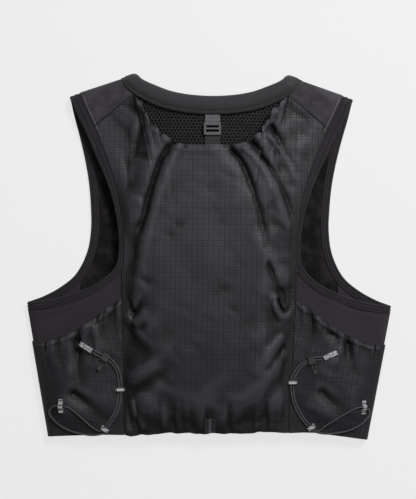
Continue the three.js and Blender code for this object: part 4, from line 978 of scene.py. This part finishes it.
# Back pocket. One large piece of ripstop over the mesh, sewn at the hem, the side seams and
# the yokes, loose between them, and gathered on elastic along its scooped mouth.
POCKET_ROOM = 0.010
MOUTH_ROOM = 0.0085
PUFF = 0.0045
MOUTH_LOBES = 13
LOBE_HEIGHT = 0.0052
LOBE_SIDEWAYS = 0.0024
LOBE_UPWARDS = 0.0030
LONG_LOBE_HEIGHT = 0.0016
MOUTH_ROLL_HEIGHT = 0.0022
HEM_PUCKER = 0.0010
HEM_WAVE_HEIGHT = 0.0022
BACK_SLACK = 0.0036
CREASES = 1.35
RIDGE_START = 0.0135
RIDGE_GIVE = 0.45
# columns as for the side pockets
BACK_FOLDS = [
    [-0.19, 0.808, -0.314, 0.694, -0.414, 0.516, 1.1, -1.3],
    [-0.388, 0.576, -0.419, 0.483, -0.46, 0.379, 1, -0.8],
    [-0.163, 0.801, -0.264, 0.686, -0.365, 0.521, 1.3, 0.8],
    [-0.349, 0.543, -0.385, 0.447, -0.416, 0.379, 1.1, 0.6],
    [-0.423, 0.913, -0.41, 0.867, -0.409, 0.801, 0.8, 0.8],
    [-0.375, 0.889, -0.378, 0.839, -0.403, 0.785, 0.8, -1.2],
    [-0.335, 0.86, -0.35, 0.763, -0.389, 0.653, 1, 0.9],
    [-0.466, 0.894, -0.447, 0.804, -0.461, 0.694, 0.8, -0.6],
    [-0.295, 0.838, -0.316, 0.79, -0.331, 0.746, 0.8, -1],
    [-0.245, 0.822, -0.277, 0.774, -0.32, 0.719, 1, 0.9],
    [0.094, 0.798, 0.194, 0.727, 0.312, 0.593, 1.1, -1],
    [0.138, 0.801, 0.254, 0.719, 0.377, 0.582, 1.3, 0.9],
    [0.312, 0.85, 0.382, 0.727, 0.466, 0.601, 1, -1],
    [0.27, 0.82, 0.336, 0.749, 0.414, 0.653, 1, 0.9],
    [0.34, 0.88, 0.393, 0.805, 0.431, 0.757, 0.8, -0.8],
    [0.382, 0.91, 0.422, 0.817, 0.461, 0.749, 1, 0.8],
    [0.215, 0.81, 0.255, 0.774, 0.303, 0.73, 0.8, -0.9],
    [-0.45, 0.335, -0.42, 0.31, -0.372, 0.343, 0.7, 1],
    [-0.443, 0.365, -0.416, 0.34, -0.383, 0.371, 0.8, -1],
    [0.365, 0.384, 0.404, 0.343, 0.45, 0.368, 0.7, 1],
    [0.387, 0.404, 0.415, 0.368, 0.445, 0.398, 0.8, -1],
    [-0.45, 0.305, -0.414, 0.277, -0.342, 0.242, 0.9, -0.7],
    [-0.44, 0.173, -0.358, 0.184, -0.287, 0.225, 1.2, 0.6],
    [0.429, 0.203, 0.378, 0.153, 0.294, 0.094, 1.1, -0.7],
    [0.207, 0.105, 0.294, 0.146, 0.353, 0.203, 1.3, 0.5],
    [-0.345, 0.099, -0.289, 0.066, -0.207, 0.039, 1.1, 0.5],
    [0.165, 0.039, 0.296, 0.05, 0.438, 0.033, 0.9, -0.5],
]

# the crisp creases and ridges that the thin cloth breaks into on top of them
FINE_FOLDS = [
    [-0.445, 0.345, -0.41, 0.316, -0.352, 0.342, 0.4, 0.9],
    [-0.435, 0.372, -0.408, 0.343, -0.375, 0.366, 0.35, -1.3],
    [-0.43, 0.32, -0.395, 0.3, -0.34, 0.31, 0.4, -0.7],
    [0.372, 0.384, 0.415, 0.35, 0.462, 0.392, 0.3, -1.6],
    [0.35, 0.37, 0.4, 0.332, 0.47, 0.356, 0.42, 0.7],
    [0.32, 0.48, 0.36, 0.43, 0.4, 0.39, 0.5, -0.6],
    [-0.4, 0.3, -0.32, 0.262, -0.22, 0.25, 0.8, 0.45],
    [0.4, 0.28, 0.33, 0.24, 0.24, 0.19, 0.8, 0.45],
    [0.41, 0.25, 0.34, 0.205, 0.26, 0.15, 0.7, -0.5],
    [-0.212, 0.806, -0.319, 0.691, -0.428, 0.39, 0.6, -1.4],
    [-0.174, 0.804, -0.265, 0.691, -0.386, 0.483, 0.6, 1.0],
    [-0.141, 0.795, -0.173, 0.768, -0.222, 0.724, 0.45, -0.7],
    [-0.383, 0.845, -0.404, 0.806, -0.419, 0.763, 0.5, -1.5],
    [-0.295, 0.834, -0.321, 0.784, -0.352, 0.675, 0.7, 1.0],
    [-0.411, 0.911, -0.416, 0.858, -0.431, 0.79, 0.45, 0.8],
    [-0.449, 0.856, -0.458, 0.776, -0.451, 0.691, 0.4, -0.9],
    [0.116, 0.79, 0.216, 0.708, 0.308, 0.532, 0.6, -1.2],
    [0.182, 0.793, 0.304, 0.719, 0.438, 0.565, 0.6, 1.2],
    [0.281, 0.768, 0.364, 0.708, 0.448, 0.612, 0.5, -1.2],
    [0.23, 0.815, 0.258, 0.795, 0.313, 0.768, 0.55, -1.5],
    [0.312, 0.828, 0.401, 0.774, 0.49, 0.686, 0.5, 1.0],
    [0.328, 0.856, 0.367, 0.823, 0.434, 0.757, 0.5, -1.3],
    [0.447, 0.932, 0.47, 0.845, 0.49, 0.713, 0.35, 0.9],
    [0.48, 0.905, 0.509, 0.817, 0.523, 0.702, 0.35, -0.7],
    [-0.443, 0.088, -0.42, 0.039, -0.359, -0.005, 0.4, -0.9],
    [-0.416, 0.099, -0.382, 0.05, -0.316, 0.006, 0.5, 0.6],
    [-0.439, 0.154, -0.352, 0.184, -0.222, 0.242, 0.7, 0.7],
    [-0.417, 0.127, -0.319, 0.154, -0.199, 0.198, 0.6, -0.5],
]


def back_pocket(u, v, fine=True):
    """The pocket's middle surface: the mesh panel's level plus its room, which grows in from
    the seams, plus the folds; if fine also the gathers, creases, slack and rolled mouth."""
    place = between(back_hem, mouth_top, left_side, right_side, u, v)
    x, y = place[..., 0], place[..., 1]
    u, v = np.broadcast_arrays(u, v)
    along = (u - YOKE_SEAM_SHARE) / (1 - 2 * YOKE_SEAM_SHARE)
    off_middle = np.abs(along - 0.5)
    lobes = gathers(along, MOUTH_LOBES, 9)
    if fine:
        scallop = lobes * ease(0.9, 1, v) * ease(0.1, 0.34, off_middle)
        scallop = scallop * ease(0, 0.05, along) * ease(1, 0.95, along)
        x = x - LOBE_SIDEWAYS * scallop * np.sign(along - 0.5)
        y = y + LOBE_UPWARDS * scallop
        pucker = (1 + gathers(u, 7, 12)) * ease(0.05, 0, v) * ease(0, 0.04, u) * ease(1, 0.96, u)
        y = y - HEM_PUCKER * pucker
    inward = np.minimum(u, 1 - u)
    yoke_seam = ease(0.75, 1, v) * ease(0.27, 0.15, inward)
    room = mix(POCKET_ROOM, MOUTH_ROOM, ease(0.8, 1, v))
    loose = ease(0, 0.22, inward) * ease(0, 0.16, v) * (1 - yoke_seam)
    free = mix(0.35, 1, ease(0, 0.06, inward)) * ease(0, 0.03, v) * (1 - yoke_seam)
    spare = room * loose + fold_height(BACK_FOLDS, x, y) * free
    if fine:
        open_cloth = 1 - ease(0.72, 0.98, v) * ease(0.185, 0.155, inward)
        crisp = ease(0.01, 0.07, inward) * ease(0.005, 0.03, v)
        slope = ease(0.12, 0.36, off_middle) * ease(-0.02, 0.04, along) * ease(1.02, 0.96, along)
        spare = spare + open_cloth * (
            PUFF * ease(0, 0.1, inward) * ease(0, 0.1, v)
            + CREASES * fold_height(FINE_FOLDS, x, y, 0.8) * crisp
            + LOBE_HEIGHT * lobes * ease(0.92, 1, v) * mix(0.1, 1, slope)
            + LONG_LOBE_HEIGHT * gathers(along, 9, 6) * ease(0.7, 0.95, v) * mix(0.2, 1, slope)
            + MOUTH_ROLL_HEIGHT * bell(v, 0.981, 0.009))
        spare = spare + HEM_WAVE_HEIGHT * gathers(u, 9, 8) * ease(0.14, 0.02, v) * ease(0, 0.02, v)
        slack = BACK_SLACK * mix(1, 2, ease(0.34, 0.1, inward) * ease(0.2, 0.5, v))
        spare = spare + slack * crinkles(x, y, 7) * ease(0, 0.08, inward) * ease(0, 0.05, v)
        # high ridges give way, so that none stands far out of the pocket
        spare = np.minimum(spare, RIDGE_START) + RIDGE_GIVE * np.maximum(0, spare - RIDGE_START)
    middle = lifted(x, y, 1, POCKET_WALL)
    middle[..., 2] += BACK_WALL + SEAM_GAP + np.maximum(0, spare)
    return middle


THREAD_DRIFT = (0.45, 0.3)
u = np.linspace(0, 1, 206)[None, :]
v = np.concatenate([np.linspace(0, 0.8, 120, endpoint=False), np.linspace(0.8, 1, 70)])[:, None]
middle = back_pocket(u, v)
# seen from above the threads run straight, and bend a little wherever the cloth rises
risen = middle[..., 2] - back_pocket(u, v, fine=False)[..., 2]
threads = middle[..., :2] + risen[..., None] * THREAD_DRIFT
pocket = cloth("back_pocket_cloth", middle, POCKET_WALL, threads)
keep_on(pocket, "relief", relief_of(middle))
ripstop_finish.onto(pocket, "back_pocket")
as_sheet(middle)


# Front panels. Flat stretch knit under the back, from the centre opening to the front seam;
# they show through the armholes.
FRONT_OPENING = 0.024
FRONT_SEAM_SHARE = 0.42
OPENING_SHARE = mix(FRONT_SEAM_SHARE, 1, 2 / 7)


def front_panel(sign):
    """The knit on the ground between the opening with the collar and the front seam with the
    armhole; u runs outwards and v up."""
    panel_at = side_panel(sign)
    armhole = armhole_line(sign, 1, TUCK)
    neck = collar_line(1, TUCK)
    top = neck(collar_station(sign, 0))

    def seam(t):
        return panel_at(0.0, t)[..., :2] - [sign * TUCK, 0]

    def opening(t):
        x = mix(sign * FRONT_OPENING / 2, top[0], t)
        return np.stack([x, mix(hem_y(x), top[1], t)], axis=-1)

    def below_collar(t):
        place = neck(collar_station(sign, mix(0, NECK_FRONT, t)))
        return np.stack([place[..., 0], place[..., 1] - SEAM_GAP * t], axis=-1)

    outer = edges((0, FRONT_SEAM_SHARE, 1), seam, along_tape(armhole, sign, FRONT_SEAM, FRONT_YOKE))
    inner = edges((0, OPENING_SHARE, 1), opening, below_collar)

    def at(u, v):
        place = mix(inner(v), outer(v), u[..., None])
        return lifted(place[..., 0], place[..., 1], 0, FRONT_WALL)

    return at


# painted shade: the front knit is painted much darker than the side panels' knit, as shade under the back
# layer
front_knit_in_shade = Finish("front_knit", Specular_IOR_Level=0.2, Roughness=0.92, Sheen_Weight=0.05)
lining_across, lining_up, _ = front_knit_in_shade.parts("UV")
lining_ribs = lining_across.near_lines(0.0016, 0.0007)
front_knit_in_shade.paint(
    shade(10, 9, 10),
    (front_knit_in_shade.cloudy("Object", 0.016, 4.0).rising(0.35, 0.75), shade(46, 41, 44)),
    (lining_ribs * 0.5, shade(14, 12, 15)))
front_knit_in_shade.relief(lining_ribs * lining_up.near_lines(0.0011, 0.0005), 0.0002)

LINING_SLACK = 0.0030
LINING_FOLD = 0.011
for side, sign in (("left", -1), ("right", 1)):
    u, v = grid(160, 60)
    middle = front_panel(sign)(u, v)
    # the knit lies in slow folds beside the armhole, upwards from the ground only
    waves = np.maximum(0, np.sin(middle[..., 1] / LINING_FOLD + 4 * u))
    near_armhole = ease(0.55, 0.95, u) * ease(1.0, 0.9, u) * ease(0.4, 0.5, v) * ease(1, 0.9, v)
    middle[..., 2] += LINING_SLACK * waves * near_armhole
    front = cloth(f"knit_front_{side}", middle, FRONT_WALL)
    front_knit_in_shade.onto(front, f"front_panel_{side}")
    as_sheet(middle)


# Yokes. Padded shoulder pieces of a smooth dense cloth between the armhole and the collar,
# with a thin light cord of piping along the armhole's tape.
YOKE_WALL = 0.004


def yoke(sign):
    """u runs over the shoulder from front to back and v from the armhole to the collar."""
    armhole = armhole_line(sign, 1, TUCK)
    neck = collar_line(1, TUCK)

    def at(u, v):
        u, v = np.broadcast_arrays(u, v)
        back_end = SHOULDER + BACK_YOKE
        tape = np.where(u < 0.5, mix(FRONT_YOKE, SHOULDER, u * 2), mix(SHOULDER, back_end, u * 2 - 1))
        inner = neck(collar_station(sign, mix(NECK_FRONT, NECK_YOKE, u)))
        place = mix(armhole(tape), inner, v[..., None])
        return lifted(place[..., 0], place[..., 1], place[..., 2], YOKE_WALL)

    return at


yoke_finish = Finish(
    "shoulder_cloth", Specular_IOR_Level=0.25, Roughness=0.78, Sheen_Weight=0.08, Sheen_Roughness=0.5)
yoke_x, yoke_y, _ = yoke_finish.parts("Object")
yoke_twill = (yoke_x + yoke_y).near_lines(0.0008, 0.0003)
yoke_finish.paint(
    shade(50, 46, 51),
    (yoke_finish.cloudy("Object", 0.014, 4.0).rising(0.3, 0.7), shade(70, 66, 72)),
    (yoke_twill * 0.35, shade(38, 36, 40)),
    (yoke_finish.stored("seam"), shade(14, 13, 15)))
yoke_finish.relief(yoke_twill, 0.00012)

PIPING_THICK = 0.001
PIPING_GAP = 0.0003
PIPING_SIDES = 8
piping_finish = Finish("light_piping", Roughness=0.6)
piping_along, piping_round, _ = piping_finish.parts("UV")
piping_twist = (piping_along + piping_round).near_lines(0.0014, 0.0005)
piping_finish.paint(shade(104, 101, 106), (piping_twist, shade(76, 73, 78)))
piping_finish.relief(piping_twist, 0.0001)

YOKE_CROWN = 0.0012
YOKE_SLACK = 0.0011
for side, sign in (("left", -1), ("right", 1)):
    edge = armhole_line(sign, 1, PIPING_GAP)(np.linspace(-0.6, BACK_YOKE + 0.15, 90))
    path = lifted(edge[:, 0], edge[:, 1], edge[:, 2], YOKE_WALL * 1.05)
    path[:, 2] += YOKE_WALL * 0.5 - PIPING_THICK * 0.2
    piping = rod(f"yoke_piping_{side}", path, PIPING_THICK, PIPING_SIDES)
    piping_finish.onto(piping)

    u, v = grid(60, 110)
    middle = yoke(sign)(u, v)
    crown = np.sin(np.pi * v) * np.sin(np.pi * u) ** 0.5 * ease(0.5, 0.62, u)
    middle[..., 2] += crown * (YOKE_CROWN + YOKE_SLACK * crinkles(middle[..., 0], middle[..., 1], 30))
    padded_yoke = cloth(f"yoke_cloth_{side}", middle, YOKE_WALL)
    keep_on(padded_yoke, "seam", 0.85 * ease(0.97, 0.985, u) * np.ones_like(v))
    yoke_finish.onto(padded_yoke, f"yoke_{side}")


# Front straps and hanger. Woven webbing: two straps close the front under the back, and a
# loop hangs the vest, with a moulded ladder buckle that takes the bladder's strap.
WEBBINGS = {
    # sunk and raised threads, and the straps that are woven of them
    "pale_webbing": [shade(66, 64, 69), shade(112, 110, 116), ("hanger_strap_upper",)],
    # a copy of the same webbing painted dark as shade, for the hanger's strap below the buckle and the front
    # straps under the back
    "shaded_webbing": [shade(24, 23, 25), shade(48, 46, 50), (
        "hanger_strap_lower", "front_clasp_lower", "front_clasp_upper")],
}
for finish_name, (sunk_thread, raised_thread, straps) in WEBBINGS.items():
    webbing_finish = Finish(finish_name, Roughness=0.8, Sheen_Weight=0.1)
    web_across, web_along, _ = webbing_finish.parts("Object")
    web_ribs = web_along.near_lines(0.0016, 0.0007)
    web_cords = web_across.near_lines(0.0022, 0.0006)
    webbing_finish.paint(sunk_thread, (web_ribs, raised_thread), (web_cords * 0.6, sunk_thread))
    webbing_finish.relief(web_ribs - 0.5 * web_cords, 0.0003)
    for strap in straps:
        webbing_finish.onto(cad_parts[strap])

MOULDINGS = {
    # darker and paler grain, and the parts that are moulded in it
    "buckle_plastic": [shade(60, 58, 62), shade(80, 78, 82), ("hanger_buckle",)],
    "hook_plastic": [shade(28, 27, 30), shade(42, 41, 45), ("cord_hook_left", "cord_hook_right")],
}
for finish_name, (dark_grain, pale_grain, moulded) in MOULDINGS.items():
    plastic_finish = Finish(finish_name)
    plastic_fine = plastic_finish.cloudy("Object", 0.0006, 2.0)
    plastic_finish.paint(dark_grain, (plastic_fine, pale_grain))
    plastic_finish.put("Roughness", 0.36 + 0.15 * plastic_fine)
    plastic_finish.relief(plastic_fine, 0.00008)
    for part in moulded:
        plastic_finish.onto(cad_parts[part])


# Hem loop. A short ribbed tape with a pale zigzag stitch, turned over the middle of the hem;
# it follows the pocket's cloth up from the edge.
LOOP_OUT = 0.012
LOOP_WIDTH = 0.0135
LOOP_LENGTH = 0.0195
LOOP_THICK = 0.0014
LOOP_GAP = 0.0003
LOOP_CROWN = 0.0005
ZIGZAG = 0.0013
loop_finish = Finish("hem_tape", Specular_IOR_Level=0.25, Roughness=0.8)
loop_x, loop_y, _ = loop_finish.parts("Object")
zigzag_x = LOOP_OUT * HALF_WIDTH + (loop_y.math("PINGPONG", ZIGZAG) - ZIGZAG / 2) * 2.2
zigzag = (loop_x - zigzag_x).math("ABSOLUTE").rising(0.0009, 0.0004)
loop_ribs = loop_y.near_lines(0.0012, 0.0005)
loop_finish.paint(
    shade(46, 44, 48), (loop_ribs * 0.5, shade(26, 24, 27)), (zigzag * 0.8, shade(120, 118, 122)))
loop_finish.relief(zigzag + 0.4 * loop_ribs, 0.0003)
u, v = grid(24, 18)
across = LOOP_OUT * HALF_WIDTH + (u - 0.5) * LOOP_WIDTH
hem_span = back_hem(np.array([0.0, 1.0]))[:, 0]
under = back_pocket((across - hem_span[0]) / (hem_span[1] - hem_span[0]), v * 0.07)
up_cloth = lengths(under[:, 0])
middle = np.stack([
    np.stack([np.interp(v[:, 0] * LOOP_LENGTH, up_cloth, column) for column in line.T], axis=-1)
    for line in under.swapaxes(0, 1)], axis=1)
middle[..., 2] += (POCKET_WALL + LOOP_THICK) / 2 + LOOP_GAP + LOOP_CROWN * (1 - (2 * u - 1) ** 2)
loop = cloth("hem_loop_tape", middle, LOOP_THICK)
loop_finish.onto(loop, "hem_loop")


# Reflective tapes and pull tabs. Silver tape woven with dark bars, sewn over the cords, and
# the folded tape ends that the cords are pulled by.
shine_finish = Finish("reflective", Roughness=0.35, Metallic=0.3)
shine_bars = shine_finish.parts("Object")[1].near_lines(0.0052, 0.0012)
shine_spots = shine_finish.cloudy("Object", 0.0012, 2.0)
shine_finish.paint(
    shade(150, 150, 154), (shine_spots, shade(205, 205, 208)), (shine_bars * 0.8, shade(60, 59, 62)))
shine_finish.relief(shine_spots, 0.0001)
tab_finish = Finish("printed_tab", Roughness=0.4, Metallic=0.2)
tab_flecks = tab_finish.cloudy("Object", 0.0022, 1.0, stretch=(1, 1.6, 1)).rising(0.5, 0.6)
tab_finish.paint(
    shade(140, 140, 144),
    (tab_finish.cloudy("Object", 0.001), shade(196, 196, 200)),
    (tab_flecks * 0.8, shade(58, 57, 60)))
tab_finish.relief(tab_flecks, 0.0002)
for side in ("left", "right"):
    for name in ("side_tab", "seam_tab", "hem_tab"):
        shine_finish.onto(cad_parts[f"{name}_{side}"])
    tab_finish.onto(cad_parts[f"pull_tab_{side}"])

cord_finish = Finish("elastic_cord", Roughness=0.75)
braid_along, braid_round, _ = cord_finish.parts("UV")
braid, counter = (
    (braid_along + lean * braid_round).near_lines(0.0012, 0.00045) for lean in (0.6, -0.6))
cord_finish.paint(shade(56, 55, 60), (braid, shade(90, 89, 94)), (counter * 0.6, shade(44, 43, 47)))
cord_finish.relief(braid.math("MAXIMUM", counter), 0.00025)
for cord in cords.values():
    cord_finish.onto(cord)
